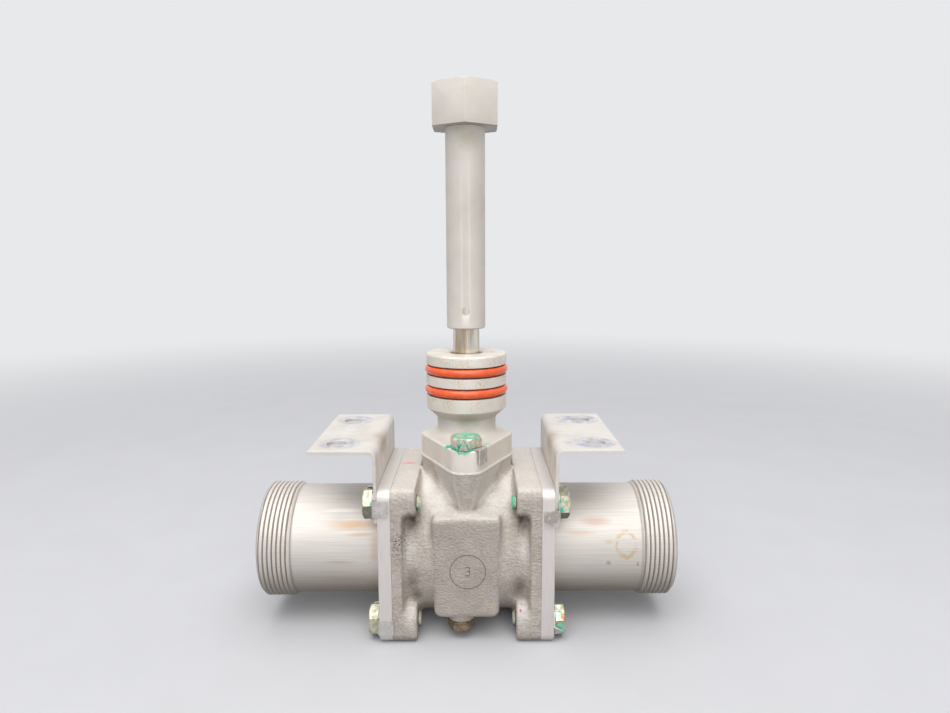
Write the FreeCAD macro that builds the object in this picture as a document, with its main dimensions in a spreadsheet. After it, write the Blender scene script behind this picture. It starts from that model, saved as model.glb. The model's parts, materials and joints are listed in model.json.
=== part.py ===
import FreeCAD, Part
import Sketcher
import math
import os

# Shut-off valve: a quarter-turn ball valve between two threaded tubes, turned by a long stem extension
# All sizes are in millimetres
# X runs along the pipe, Y runs across it, Z points up along the stem
# The origin lies under the stem, at the level of the flange bottoms that the valve stands on
# Each piece is drawn about the pipe axis and is then lifted by half a flange

SIZES = {
    # The bore and, outwards from it, each wall and gap of the body
    "flow_radius": 19.05,
    "ball_shell": 5.95,
    "ball_cavity_gap": 0.6,
    "barrel_wall": 3.6,
    "flange_margin": 2.3,
    # Along the pipe, from the middle of the ball out to a tube's end
    "body_half_length": 29.2,
    "adapter_flange_thickness": 5.2,
    "tube_length": 50.2,
    "tube_wall": 3.6,
    "port_thread_rise": 1.16,
    "port_thread_length": 13.6,
    "port_runout_length": 2.8,
    "port_chamfer": 0.9,
    # Square end flanges and their bolts
    "flange_corner_radius": 4.0,
    "flange_edge_break": 0.5,
    "bolt_edge_distance": 7.1,
    # Cast body
    "web_thickness": 4.3,
    "boss_depth": 9.7,
    "boss_reach": 7.5,
    "boss_round": 5.0,
    "boss_edge_round": 0.75,
    "flange_root_round": 1.2,
    "casting_root_round": 1.2,
    "slab_half_width": 13.6,
    "slab_top_inset": 10.9,
    "slab_bottom_inset": 10.1,
    "slab_end_inset": 1.0,
    "slab_crown": 1.1,
    "slab_draft": 0.7,
    "slab_corner_round": 3.0,
    "slab_shoulder_round": 2.0,
    "slab_crown_radius": 100.0,
    "slab_edge_round": 1.8,
    "pad_rise": 8.7,
    "pad_land": 1.0,
    "pad_ledge": 0.45,
    "column_draft_angle": 8.0,
    "column_length": 20.0,
    "drain_inset": 7.2,
    "drain_side_offset": 2.2,
    "drain_boss_radius": 5.7,
    "drain_boss_height": 2.0,
    "drain_hole_depth": 12.7,
    # Bonnet
    "bonnet_thickness": 8.55,
    "bonnet_side_reach": 19.7,
    "bonnet_side_inset": 9.4,
    "bonnet_front_inset": 3.0,
    "bonnet_front_half_width": 5.0,
    "bonnet_side_round": 5.0,
    "bonnet_front_round": 5.0,
    "bonnet_edge_break": 0.5,
    "bonnet_bolt_inset": 5.6,
    "pilot_wall": 1.0,
    "neck_radius": 12.25,
    "neck_length": 11.05,
    "neck_flare_height": 3.6,
    "neck_foot_round": 3.0,
    "neck_top_round": 2.6,
    "spigot_radius": 16.64,
    "spigot_length": 23.3,
    "spigot_chamfer": 0.6,
    "port_ring_radius": 1.765,
    "port_ring_groove_depth": 2.92,
    "port_ring_groove_width": 4.4,
    "lower_ring_rise": 8.23,
    "ring_pitch": 8.4,
    # Stem and what guides it
    "stem_radius": 5.45,
    "stem_shoulder_width": 2.75,
    "stem_shoulder_thickness": 3.0,
    "stem_ring_groove_depth": 1.35,
    "stem_ring_groove_width": 2.2,
    "stem_ring_rise": 6.0,
    "stem_ring_pitch": 7.0,
    "tang_thickness": 8.0,
    "tang_width": 15.0,
    "tang_depth": 4.0,
    "thrust_washer_thickness": 1.0,
    "bushing_wall": 1.2,
    "bushing_length": 10.4,
    "bushing_recess": 1.2,
    "mouth_chamfer": 0.6,
    # Stem extension
    "stem_gap": 10.1,
    "extension_radius": 7.94,
    "extension_rod_length": 79.4,
    "extension_edge_break": 0.5,
    "head_across_flats": 25.4,
    "head_length": 16.4,
    "head_corner_cut": 1.2,
    "socket_depth": 21.0,
    "socket_end_gap": 1.0,
    "pin_height": 7.3,
    "pin_radius": 1.56,
    # Ball, seats and rings
    "ball_top_gap": 0.6,
    "slot_floor_gap": 0.6,
    "adapter_spigot_length": 7.8,
    "seat_depth": 8.0,
    "seat_spring_height": 1.2,
    "seat_spring_thickness": 0.6,
    "seat_spring_width": 4.8,
    "face_ring_groove_depth": 3.0,
    "face_ring_groove_width": 3.6,
    "face_ring_inset": 2.0,
    "bonnet_ring_groove_depth": 1.8,
    "bonnet_ring_groove_width": 2.6,
    "bonnet_ring_rise": 2.6,
    # Brackets
    "sheet_thickness": 1.27,
    "bracket_bend_radius": 1.8,
    "bracket_rise": 15.5,
    "bracket_side_inset": 1.0,
    "bracket_foot_margin": 6.2,
    "bracket_arch_gap": 1.95,
    "bracket_tab_length": 26.0,
    "bracket_hole_radius": 3.97,
    "bracket_hole_inset": 9.1,
    "bracket_hole_y": 19.05,
    # Fasteners
    "bolt_radius": 3.175,
    "bolt_across_flats": 11.11,
    "bolt_head_height": 3.97,
    "bonnet_bolt_length": 19.05,
    "upper_bolt_length": 18.4,
    "lower_bolt_length": 16.7,
    "bolt_end_gap": 2.1,
    "washer_thickness": 0.6,
    "washer_radius": 6.0,
    "washer_tab_width": 6.2,
    "washer_tab_drop": 6.2,
    "washer_prong_width": 3.4,
    "washer_prong_height": 2.6,
    "plug_radius": 2.4,
    "plug_length": 9.0,
    "plug_across_flats": 9.53,
    "plug_head_height": 3.5,
    "plug_washer_radius": 4.9,
    # Clearances, each on a radius or on one side
    "running_clearance": 0.05,
    "fitted_clearance": 0.02,
    "loose_clearance": 0.1,
    "bolt_hole_clearance": 0.2,
    "cut_overrun": 1.0,
}

ROOT_THREE = math.sqrt(3.0)
ROOT_SHARE = 0.42
FOOT_SHARE = 0.41


class Size:
    """A length that knows its number and the formula that gives it from the table of sizes."""

    def __init__(self, number, formula):
        self.number = number
        self.formula = formula

    def __add__(self, other):
        other = as_size(other)
        return Size(self.number + other.number, "(%s + %s)" % (self.formula, other.formula))

    def __radd__(self, other):
        return as_size(other) + self

    def __sub__(self, other):
        other = as_size(other)
        return Size(self.number - other.number, "(%s - %s)" % (self.formula, other.formula))

    def __rsub__(self, other):
        return as_size(other) - self

    def __mul__(self, other):
        other = as_size(other)
        return Size(self.number * other.number, "(%s * %s)" % (self.formula, other.formula))

    def __rmul__(self, other):
        return as_size(other) * self

    def __truediv__(self, other):
        other = as_size(other)
        return Size(self.number / other.number, "(%s / %s)" % (self.formula, other.formula))

    def __neg__(self):
        return Size(-self.number, "(0 - %s)" % self.formula)


def as_size(value):
    return value if isinstance(value, Size) else Size(float(value), "%.9f" % value)


def smaller_of(first, second):
    return Size(min(first.number, second.number), "min(%s; %s)" % (first.formula, second.formula))


# The document, its table of sizes, and one named length for each row of the table

doc = FreeCAD.newDocument("shut_off_valve")
table = doc.addObject("Spreadsheet::Sheet", "Sizes")
for row, (word, number) in enumerate(SIZES.items(), start=1):
    table.set("A%d" % row, word)
    table.set("B%d" % row, str(number))
    table.setAlias("B%d" % row, word)
doc.recompute()


class Lengths:
    """The sizes of the table by name."""


s = Lengths()
for word in SIZES:
    setattr(s, word, Size(float(table.get(word)), "Sizes." + word))

# Levels and distances that follow from the sizes

ball_radius = s.flow_radius + s.ball_shell
cavity_radius = ball_radius + s.ball_cavity_gap
barrel_radius = cavity_radius + s.barrel_wall
flange_half = barrel_radius + s.flange_margin
flange_bolt_offset = flange_half - s.bolt_edge_distance
axis_height = flange_half

adapter_face = s.body_half_length + s.adapter_flange_thickness
bracket_face = adapter_face + s.sheet_thickness
tube_end = adapter_face + s.tube_length
tube_outer_radius = s.flow_radius + s.tube_wall
port_thread_radius = tube_outer_radius + s.port_thread_rise
spigot_face = s.body_half_length - s.adapter_spigot_length
adapter_spigot_radius = cavity_radius - s.loose_clearance
face_ring_groove_radius = cavity_radius - s.face_ring_groove_depth

slab_top = flange_half - s.slab_top_inset
slab_bottom = flange_half - s.slab_bottom_inset
slab_end = flange_half - s.slab_end_inset
boss_bottom = slab_bottom + s.drain_boss_height
drain_offset = flange_half - s.drain_inset

pad_height = barrel_radius + s.pad_rise
flange_top = pad_height + s.bonnet_thickness
bonnet_side_reach = smaller_of(s.bonnet_side_reach, s.body_half_length - s.bonnet_side_inset)
bonnet_front_reach = flange_half - s.bonnet_front_inset
bonnet_bolt_offset = bonnet_front_reach - s.bonnet_bolt_inset
spigot_bottom = flange_top + s.neck_length
spigot_top = spigot_bottom + s.spigot_length
port_ring_groove_radius = s.spigot_radius - s.port_ring_groove_depth

shoulder_bottom = ball_radius + s.ball_top_gap
shoulder_top = shoulder_bottom + s.stem_shoulder_thickness
pilot_bottom = shoulder_top + s.thrust_washer_thickness
extension_bottom = spigot_top + s.stem_gap
stem_top = extension_bottom + s.socket_depth - s.socket_end_gap
head_bottom = extension_bottom + s.extension_rod_length
head_top = head_bottom + s.head_length
stem_shoulder_radius = s.stem_radius + s.stem_shoulder_width
stem_ring_groove_radius = s.stem_radius - s.stem_ring_groove_depth
stem_bore_radius = s.stem_radius + s.running_clearance
bushing_radius = stem_bore_radius + s.bushing_wall
bonnet_ring_groove_radius = bushing_radius + s.pilot_wall
pilot_radius = bonnet_ring_groove_radius + s.bonnet_ring_groove_depth
turret_bore_radius = pilot_radius + s.loose_clearance

bracket_top = flange_half + s.bracket_rise
bracket_foot = flange_bolt_offset - s.bracket_foot_margin
bracket_reach = adapter_face + s.bracket_tab_length
bracket_hole_x = bracket_reach - s.bracket_hole_inset
bracket_arch_radius = tube_outer_radius + s.bracket_arch_gap
bonnet_hole_depth = s.bonnet_bolt_length - s.washer_thickness - s.bonnet_thickness + s.bolt_end_gap

# A round at a root takes no more than its share of the room beside it

boss_face = s.body_half_length - s.boss_depth
root_room = (boss_face - s.slab_half_width) * ROOT_SHARE
casting_root_round = smaller_of(s.casting_root_round, root_room)
flange_root_round = smaller_of(s.flange_root_round, root_room)
neck_foot_round = smaller_of(s.neck_foot_round, (bonnet_side_reach - s.neck_radius) * FOOT_SHARE)

NODES = []


def number_of(value):
    return as_size(value).number


def bind(thing, name, value):
    """Set a property to a length, and keep it tied to the table."""
    thing.setExpression(name, as_size(value).formula)


def finish_node(thing, label, lift=None, quarter_turns=0):
    """Give a piece its name and its place, and list it among the pieces to write."""
    thing.Label = label
    turn = FreeCAD.Rotation(FreeCAD.Vector(0, 0, 1), 90.0 * quarter_turns)
    thing.Placement = FreeCAD.Placement(FreeCAD.Vector(0, 0, 0), turn)
    bind(thing, "Placement.Base.z", axis_height if lift is None else lift)
    NODES.append(thing)


# Sketches


def new_body(name):
    return doc.addObject("PartDesign::Body", name)


def origin_plane(body, role):
    return [part for part in body.Origin.OriginFeatures if part.Role == role][0]


def new_sketch(body, name, role, offset=None):
    """A sketch on one of the body's own planes, moved along its normal by the offset."""
    sketch = body.newObject("Sketcher::SketchObject", name)
    sketch.AttachmentSupport = [(origin_plane(body, role), "")]
    sketch.MapMode = "FlatFace"
    if offset is not None:
        bind(sketch, "AttachmentOffset.Base.z", offset)
    return sketch


def pin_down(sketch, geometry, point, across, up):
    """Fix one point of a sketch by its two distances from the origin."""
    for kind, value in (("DistanceX", as_size(across)), ("DistanceY", as_size(up))):
        rule = Sketcher.Constraint(kind, -1, 1, geometry, point, value.number)
        index = sketch.addConstraint(rule)
        sketch.setExpression("Constraints[%d]" % index, value.formula)


def add_polygon(sketch, corners):
    """A closed loop of straight lines through the corners."""
    spots = [FreeCAD.Vector(number_of(x), number_of(y), 0) for x, y in corners]
    count = len(spots)
    lines = []
    for i in range(count):
        line = Part.LineSegment(spots[i], spots[(i + 1) % count])
        lines.append(sketch.addGeometry(line, False))
    for i in range(count):
        sketch.addConstraint(Sketcher.Constraint("Coincident", lines[i], 2, lines[(i + 1) % count], 1))
        pin_down(sketch, lines[i], 1, corners[i][0], corners[i][1])
    return lines


def add_rectangle(sketch, left, right, low, high):
    return add_polygon(sketch, [(left, low), (right, low), (right, high), (left, high)])


def corner_arc(before, corner, after, radius):
    """Where an arc of this radius leaves the two sides that meet at a corner, and its middle."""
    back = (before - corner).normalize()
    onward = (after - corner).normalize()
    half_angle = back.getAngle(onward) / 2
    reach = radius / math.tan(half_angle)
    middle = corner + (back + onward).normalize() * (radius / math.sin(half_angle))
    return corner + back * reach, corner + onward * reach, middle


def add_rounded_polygon(sketch, corners, radii):
    """A closed loop whose corners are rounded: a pinned outline carries the sides, and arcs join them."""
    spots = [FreeCAD.Vector(number_of(x), number_of(y), 0) for x, y in corners]
    guides = add_polygon(sketch, corners)
    for guide in guides:
        sketch.setConstruction(guide, True)
    count = len(spots)
    starts = list(spots)
    ends = list(spots)
    middles = [None] * count
    for i in range(count):
        if number_of(radii[i]) > 0:
            arc = corner_arc(spots[i - 1], spots[i], spots[(i + 1) % count], number_of(radii[i]))
            ends[i], starts[i], middles[i] = arc
    sides = []
    for i in range(count):
        side = sketch.addGeometry(Part.LineSegment(starts[i], ends[(i + 1) % count]), False)
        sides.append(side)
    for i in range(count):
        before = sides[i - 1]
        if middles[i] is None:
            sketch.addConstraint(Sketcher.Constraint("Coincident", before, 2, sides[i], 1))
            sketch.addConstraint(Sketcher.Constraint("Coincident", sides[i], 1, guides[i], 1))
            continue
        sketch.addConstraint(Sketcher.Constraint("PointOnObject", before, 2, guides[i - 1]))
        sketch.addConstraint(Sketcher.Constraint("PointOnObject", sides[i], 1, guides[i]))
        radius = as_size(radii[i])
        circle = Part.Circle(middles[i], FreeCAD.Vector(0, 0, 1), radius.number)
        turns_left = (spots[i] - spots[i - 1]).cross(spots[(i + 1) % count] - spots[i]).z > 0
        first, last = (ends[i], starts[i]) if turns_left else (starts[i], ends[i])
        angles = [math.atan2(spot.y - middles[i].y, spot.x - middles[i].x) for spot in (first, last)]
        arc = sketch.addGeometry(Part.ArcOfCircle(circle, angles[0], angles[1]), False)
        sketch.addConstraint(Sketcher.Constraint("Tangent", arc, 1 if turns_left else 2, before, 2))
        sketch.addConstraint(Sketcher.Constraint("Tangent", arc, 2 if turns_left else 1, sides[i], 1))
        index = sketch.addConstraint(Sketcher.Constraint("Radius", arc, radius.number))
        sketch.setExpression("Constraints[%d]" % index, radius.formula)


def add_circle(sketch, across, up, radius):
    radius = as_size(radius)
    middle = FreeCAD.Vector(number_of(across), number_of(up), 0)
    circle = sketch.addGeometry(Part.Circle(middle, FreeCAD.Vector(0, 0, 1), radius.number), False)
    pin_down(sketch, circle, 3, across, up)
    index = sketch.addConstraint(Sketcher.Constraint("Radius", circle, radius.number))
    sketch.setExpression("Constraints[%d]" % index, radius.formula)
    return circle


def hexagon_corners(across_flats):
    """Corners of a hexagon with two of its corners on the second axis."""
    half = across_flats / 2
    reach = across_flats / ROOT_THREE
    right = [(0, -reach), (half, -reach / 2), (half, reach / 2)]
    left = [(0, reach), (-half, reach / 2), (-half, -reach / 2)]
    return right + left


# Features


def set_extent(feature, length, symmetric, backwards):
    if symmetric:
        feature.SideType = "Symmetric"
    feature.Reversed = backwards
    bind(feature, "Length", length)


def add_pad(body, name, sketch, length, symmetric=False, backwards=False, draft=None):
    pad = body.newObject("PartDesign::Pad", name)
    pad.Profile = sketch
    set_extent(pad, length, symmetric, backwards)
    if draft is not None:
        bind(pad, "TaperAngle", draft)
    sketch.Visibility = False
    return pad


def add_pocket(body, name, sketch, length, symmetric=False, backwards=False):
    before = volume_now(body)
    pocket = body.newObject("PartDesign::Pocket", name)
    pocket.Profile = sketch
    set_extent(pocket, length, symmetric, backwards)
    require_cut(body, name, before)
    return pocket


def add_turned(body, name, kind, sketch, axis):
    before = volume_now(body) if kind == "PartDesign::Groove" else None
    turned = body.newObject(kind, name)
    turned.Profile = sketch
    turned.ReferenceAxis = (sketch, [axis])
    turned.Angle = 360.0
    if before is not None:
        require_cut(body, name, before)
    return turned


def volume_now(body):
    doc.recompute()
    return body.Shape.Volume


def require_cut(body, name, before):
    if not volume_now(body) < before - 1e-3:
        raise RuntimeError("%s removes nothing" % name)


def add_mirrored(body, name, originals, role):
    mirrored = body.newObject("PartDesign::Mirrored", name)
    mirrored.Originals = originals
    mirrored.MirrorPlane = (origin_plane(body, role), [""])
    body.Tip = mirrored
    return mirrored


def find_edges(shape, wanted):
    return ["Edge%d" % (i + 1) for i, edge in enumerate(shape.Edges) if wanted(edge)]


def add_dressing(body, kind, name, wanted, amount):
    """Round or break the edges that the test picks."""
    doc.recompute()
    base = body.Tip
    names = find_edges(base.Shape, wanted)
    if not names:
        raise RuntimeError("%s finds no edge" % name)
    dressing = body.newObject("PartDesign::" + kind, name)
    dressing.Base = (base, names)
    bind(dressing, "Radius" if kind == "Fillet" else "Size", amount)
    return dressing


def near(value, target, slack=1e-4):
    return abs(value - number_of(target)) < slack


def flat_in(edge, axis, level):
    """True for an edge that lies wholly in the plane where the axis has this level."""
    box = edge.BoundBox
    low = getattr(box, axis + "Min")
    high = getattr(box, axis + "Max")
    return near(low, level, 1e-3) and near(high, level, 1e-3)


def flat_at(edge, axis, distance):
    """True for an edge in either of the two planes at this distance from the middle."""
    return flat_in(edge, axis, distance) or flat_in(edge, axis, -distance)


def outermost(edge):
    """How far an edge of a flange reaches from the pipe's axis, across or up."""
    box = edge.BoundBox
    return max(abs(box.YMin), abs(box.YMax), abs(box.ZMin), abs(box.ZMax))


def lies_on_barrel(edge):
    """True for an edge whose points are all on the barrel's outside."""
    first, last = edge.ParameterRange
    spots = [edge.valueAt(first + (last - first) * share) for share in (0.1, 0.5, 0.9)]
    return all(near(math.hypot(spot.y, spot.z), barrel_radius, 1e-2) for spot in spots)


def runs_along(edge, axis):
    """True for a straight edge parallel to the axis."""
    if not isinstance(edge.Curve, Part.Line):
        return False
    return near(abs(getattr(edge.Curve.Direction, axis.lower())), 1.0)


def circle_radius(edge):
    return edge.Curve.Radius if isinstance(edge.Curve, Part.Circle) else 0.0


# Shapes that more than one piece shares


def four_bolt_circles(sketch, radius):
    for across in (-flange_bolt_offset, flange_bolt_offset):
        for up in (-flange_bolt_offset, flange_bolt_offset):
            add_circle(sketch, across, up, radius)


def add_flange_square(sketch):
    """The rounded square of an end flange."""
    half = flange_half
    corners = [(-half, -half), (half, -half), (half, half), (-half, half)]
    add_rounded_polygon(sketch, corners, [s.flange_corner_radius] * 4)


def bonnet_outline(sketch, ledge):
    """Six-sided outline of the two-bolt flange, with rounded corners and a ledge outside it."""
    side = bonnet_side_reach + ledge
    front = bonnet_front_reach + ledge
    half = s.bonnet_front_half_width + ledge / 2
    corners = [(-side, 0), (-half, -front), (half, -front), (side, 0), (half, front), (-half, front)]
    sides = s.bonnet_side_round + ledge
    ends = s.bonnet_front_round + ledge
    add_rounded_polygon(sketch, corners, [sides, ends, ends, sides, ends, ends])


def groove_corners(outside, floor, low, high):
    """The four corners of a ring's groove in a turned outline."""
    return [(outside, low), (floor, low), (floor, high), (outside, high)]


def add_ring(label, middle_radius, section_radius, level, along_pipe=False):
    """A rubber ring about the stem, or about the pipe."""
    ring = doc.addObject("Part::Torus", label)
    bind(ring, "Radius1", middle_radius)
    bind(ring, "Radius2", section_radius)
    if along_pipe:
        ring.Placement.Rotation = FreeCAD.Rotation(FreeCAD.Vector(0, 1, 0), 90)
        bind(ring, "Placement.Base.x", level)
        bind(ring, "Placement.Base.z", axis_height)
    else:
        bind(ring, "Placement.Base.z", axis_height + level)
    ring.Label = label
    return ring


# Cast body


def make_valve_body():
    body = new_body("ValveBody")
    make_slab(body)
    sketch = new_sketch(body, "BarrelOutline", "YZ_Plane")
    add_circle(sketch, 0, 0, barrel_radius)
    add_pad(body, "Barrel", sketch, s.body_half_length * 2, symmetric=True)
    make_column(body)
    make_flange_ends(body)
    sketch = new_sketch(body, "DrainBossOutline", "XY_Plane", -boss_bottom)
    add_circle(sketch, -s.drain_side_offset, -drain_offset, s.drain_boss_radius)
    add_pad(body, "DrainBoss", sketch, s.drain_boss_height * 2)
    cut_valve_body(body)
    round_valve_body(body)
    finish_node(body, "valve_body")


def make_column(body):
    """The drafted column under the bonnet, and the land that the bonnet sits on."""
    sketch = new_sketch(body, "ColumnOutline", "XY_Plane", pad_height - s.pad_land)
    bonnet_outline(sketch, s.pad_ledge)
    add_pad(body, "Column", sketch, s.column_length, backwards=True, draft=-s.column_draft_angle)
    sketch = new_sketch(body, "LandOutline", "XY_Plane", pad_height - s.pad_land)
    bonnet_outline(sketch, s.pad_ledge)
    add_pad(body, "Land", sketch, s.pad_land)


def make_flange_ends(body):
    """A thin square web at each end of the barrel, thickened above and below for the bolts."""
    sketch = new_sketch(body, "WebOutline", "YZ_Plane", s.body_half_length - s.web_thickness)
    add_flange_square(sketch)
    web = add_pad(body, "EndWeb", sketch, s.web_thickness)
    sketch = new_sketch(body, "BossOutline", "YZ_Plane", boss_face)
    half = flange_half
    foot = flange_bolt_offset - s.boss_reach
    corner = s.flange_corner_radius
    upper = [(-half, foot), (half, foot), (half, half), (-half, half)]
    add_rounded_polygon(sketch, upper, [s.boss_round, s.boss_round, corner, corner])
    lower = [(-half, -half), (half, -half), (half, -foot), (-half, -foot)]
    add_rounded_polygon(sketch, lower, [corner, corner, s.boss_round, s.boss_round])
    bosses = add_pad(body, "EndBosses", sketch, s.boss_depth)
    add_mirrored(body, "OtherEnd", [web, bosses], "YZ_Plane")


def make_slab(body):
    """The block between the flanges, with an arched top and sides that draw in downwards."""
    sketch = new_sketch(body, "SlabOutline", "XZ_Plane")
    low_half = s.slab_half_width - s.slab_draft
    shoulder = slab_top - s.slab_crown
    corners = [
        (-low_half, -slab_bottom),
        (low_half, -slab_bottom),
        (s.slab_half_width, shoulder),
        (0, slab_top),
        (-s.slab_half_width, shoulder),
    ]
    low = s.slab_corner_round
    top = s.slab_shoulder_round
    add_rounded_polygon(sketch, corners, [low, low, top, s.slab_crown_radius, top])
    add_pad(body, "Slab", sketch, slab_end * 2, symmetric=True)
    add_dressing(body, "Fillet", "SlabEdges", lambda edge: flat_at(edge, "Y", slab_end), s.slab_edge_round)


def cut_valve_body(body):
    """The ball's cavity, the bonnet's bore and every bolt hole."""
    sketch = new_sketch(body, "CavityOutline", "YZ_Plane")
    add_circle(sketch, 0, 0, cavity_radius)
    add_pocket(body, "Cavity", sketch, (s.body_half_length + s.cut_overrun) * 2, symmetric=True)
    sketch = new_sketch(body, "TurretBoreOutline", "XY_Plane", pad_height)
    add_circle(sketch, 0, 0, turret_bore_radius)
    add_pocket(body, "TurretBore", sketch, pad_height)
    sketch = new_sketch(body, "FlangeHoleOutline", "YZ_Plane", s.body_half_length)
    four_bolt_circles(sketch, s.bolt_radius + s.running_clearance)
    holes = add_pocket(body, "FlangeHoles", sketch, s.boss_depth + s.cut_overrun)
    add_mirrored(body, "OtherFlangeHoles", [holes], "YZ_Plane")
    sketch = new_sketch(body, "BonnetHoleOutline", "XY_Plane", pad_height)
    for end in (-1, 1):
        add_circle(sketch, 0, bonnet_bolt_offset * end, s.bolt_radius + s.running_clearance)
    add_pocket(body, "BonnetHoles", sketch, bonnet_hole_depth)
    sketch = new_sketch(body, "DrainHoleOutline", "XY_Plane", -boss_bottom)
    add_circle(sketch, -s.drain_side_offset, -drain_offset, s.plug_radius + s.running_clearance)
    add_pocket(body, "DrainHole", sketch, s.drain_hole_depth, backwards=True)


def round_valve_body(body):
    """The soft edges and the filled inner corners that a sand casting has."""
    web_face = s.body_half_length - s.web_thickness
    hole_radius = s.bolt_radius + s.running_clearance

    def is_casting_root(edge):
        """Where the column and the slab grow out of the barrel."""
        on_flange = flat_at(edge, "X", web_face) or flat_at(edge, "X", boss_face) or runs_along(edge, "X")
        return lies_on_barrel(edge) and not on_flange and edge.BoundBox.ZMax > 0

    def is_flange_root(edge):
        """Where the webs and bosses grow out of the barrel, but for the tight corners beside the column."""
        by_lower_boss = flat_at(edge, "X", boss_face) and edge.BoundBox.ZMax < 0
        return lies_on_barrel(edge) and (flat_at(edge, "X", web_face) or by_lower_boss)

    def is_boss_edge(edge):
        hole = near(circle_radius(edge), hole_radius)
        return flat_at(edge, "X", boss_face) and not lies_on_barrel(edge) and not hole

    add_dressing(body, "Fillet", "CastingRoots", is_casting_root, casting_root_round)
    add_dressing(body, "Fillet", "FlangeRoots", is_flange_root, flange_root_round)
    add_dressing(body, "Fillet", "BossEdges", is_boss_edge, s.boss_edge_round)


# Bonnet with its round spigot


def make_bonnet():
    def is_top_edge(edge):
        return flat_in(edge, "Z", flange_top)

    def is_neck_end(edge, level):
        return flat_in(edge, "Z", level) and near(circle_radius(edge), s.neck_radius)

    flare_bottom = spigot_bottom - s.neck_flare_height

    body = new_body("Bonnet")
    sketch = new_sketch(body, "FlangeOutline", "XY_Plane", pad_height)
    bonnet_outline(sketch, 0)
    add_pad(body, "Flange", sketch, s.bonnet_thickness)
    add_dressing(body, "Chamfer", "FlangeTopBreak", is_top_edge, s.bonnet_edge_break)

    ring_low = pilot_bottom + s.bonnet_ring_rise - s.bonnet_ring_groove_width / 2
    ring_high = ring_low + s.bonnet_ring_groove_width
    sketch = new_sketch(body, "TurnedOutline", "XZ_Plane")
    corners = [
        (0, pilot_bottom),
        (pilot_radius, pilot_bottom),
        *groove_corners(pilot_radius, bonnet_ring_groove_radius, ring_low, ring_high),
        (pilot_radius, pad_height + s.bonnet_thickness / 2),
        (s.neck_radius, pad_height + s.bonnet_thickness / 2),
        (s.neck_radius, flare_bottom),
        (s.spigot_radius - s.spigot_chamfer, spigot_bottom),
        (s.spigot_radius, spigot_bottom + s.spigot_chamfer),
    ]
    for step in (0, 1):
        middle = spigot_bottom + s.lower_ring_rise + s.ring_pitch * step
        low = middle - s.port_ring_groove_width / 2
        high = middle + s.port_ring_groove_width / 2
        corners += groove_corners(s.spigot_radius, port_ring_groove_radius, low, high)
    corners += [
        (s.spigot_radius, spigot_top - s.spigot_chamfer),
        (s.spigot_radius - s.spigot_chamfer, spigot_top),
        (0, spigot_top),
    ]
    add_polygon(sketch, corners)
    add_turned(body, "NeckAndSpigot", "PartDesign::Revolution", sketch, "V_Axis")

    sketch = new_sketch(body, "BoreOutline", "XZ_Plane")
    lower_end = pilot_bottom + s.bushing_length
    upper_end = spigot_top - s.bushing_recess - s.bushing_length
    add_polygon(sketch, [
        (0, pilot_bottom - s.cut_overrun),
        (bushing_radius, pilot_bottom - s.cut_overrun),
        (bushing_radius, lower_end),
        (stem_bore_radius, lower_end),
        (stem_bore_radius, upper_end),
        (bushing_radius, upper_end),
        (bushing_radius, spigot_top - s.mouth_chamfer),
        (bushing_radius + s.mouth_chamfer * 2, spigot_top + s.mouth_chamfer),
        (0, spigot_top + s.mouth_chamfer),
    ])
    add_turned(body, "StemBore", "PartDesign::Groove", sketch, "V_Axis")
    sketch = new_sketch(body, "BoltHoleOutline", "XY_Plane", flange_top)
    for end in (-1, 1):
        add_circle(sketch, 0, bonnet_bolt_offset * end, s.bolt_radius + s.bolt_hole_clearance)
    add_pocket(body, "BoltHoles", sketch, s.bonnet_thickness)
    add_dressing(body, "Fillet", "NeckFoot", lambda edge: is_neck_end(edge, flange_top), neck_foot_round)
    add_dressing(body, "Fillet", "NeckTop", lambda edge: is_neck_end(edge, flare_bottom), s.neck_top_round)
    finish_node(body, "bonnet")


def make_port_rings():
    middle = port_ring_groove_radius + s.port_ring_radius + s.fitted_clearance
    for step, label in enumerate(("lower_port_ring", "upper_port_ring")):
        level = spigot_bottom + s.lower_ring_rise + s.ring_pitch * step
        NODES.append(add_ring(label, middle, s.port_ring_radius, level))


def make_bonnet_ring():
    half_gap = (turret_bore_radius - bonnet_ring_groove_radius) / 2
    level = pilot_bottom + s.bonnet_ring_rise
    middle = bonnet_ring_groove_radius + half_gap
    NODES.append(add_ring("bonnet_ring", middle, half_gap - s.fitted_clearance, level))


def add_tube(label, inner, outer, low, high):
    """A plain ring about the stem between two levels."""
    wall = doc.addObject("Part::Cylinder", label + "_wall")
    bind(wall, "Radius", outer)
    bind(wall, "Height", high - low)
    hole = doc.addObject("Part::Cylinder", label + "_hole")
    bind(hole, "Radius", inner)
    bind(hole, "Height", high - low)
    tube = doc.addObject("Part::Cut", label)
    tube.Base = wall
    tube.Tool = hole
    finish_node(tube, label, axis_height + low)


def make_bushings():
    outer = bushing_radius - s.fitted_clearance
    add_tube("lower_bushing", stem_bore_radius, outer, pilot_bottom, pilot_bottom + s.bushing_length)
    top = spigot_top - s.bushing_recess
    add_tube("upper_bushing", stem_bore_radius, outer, top - s.bushing_length, top)
    add_tube("thrust_washer", stem_bore_radius, stem_shoulder_radius, shoulder_top, pilot_bottom)


# Stem, its rings and its extension


def stem_ring_level(step):
    return flange_top + s.stem_ring_rise + s.stem_ring_pitch * step


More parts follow.
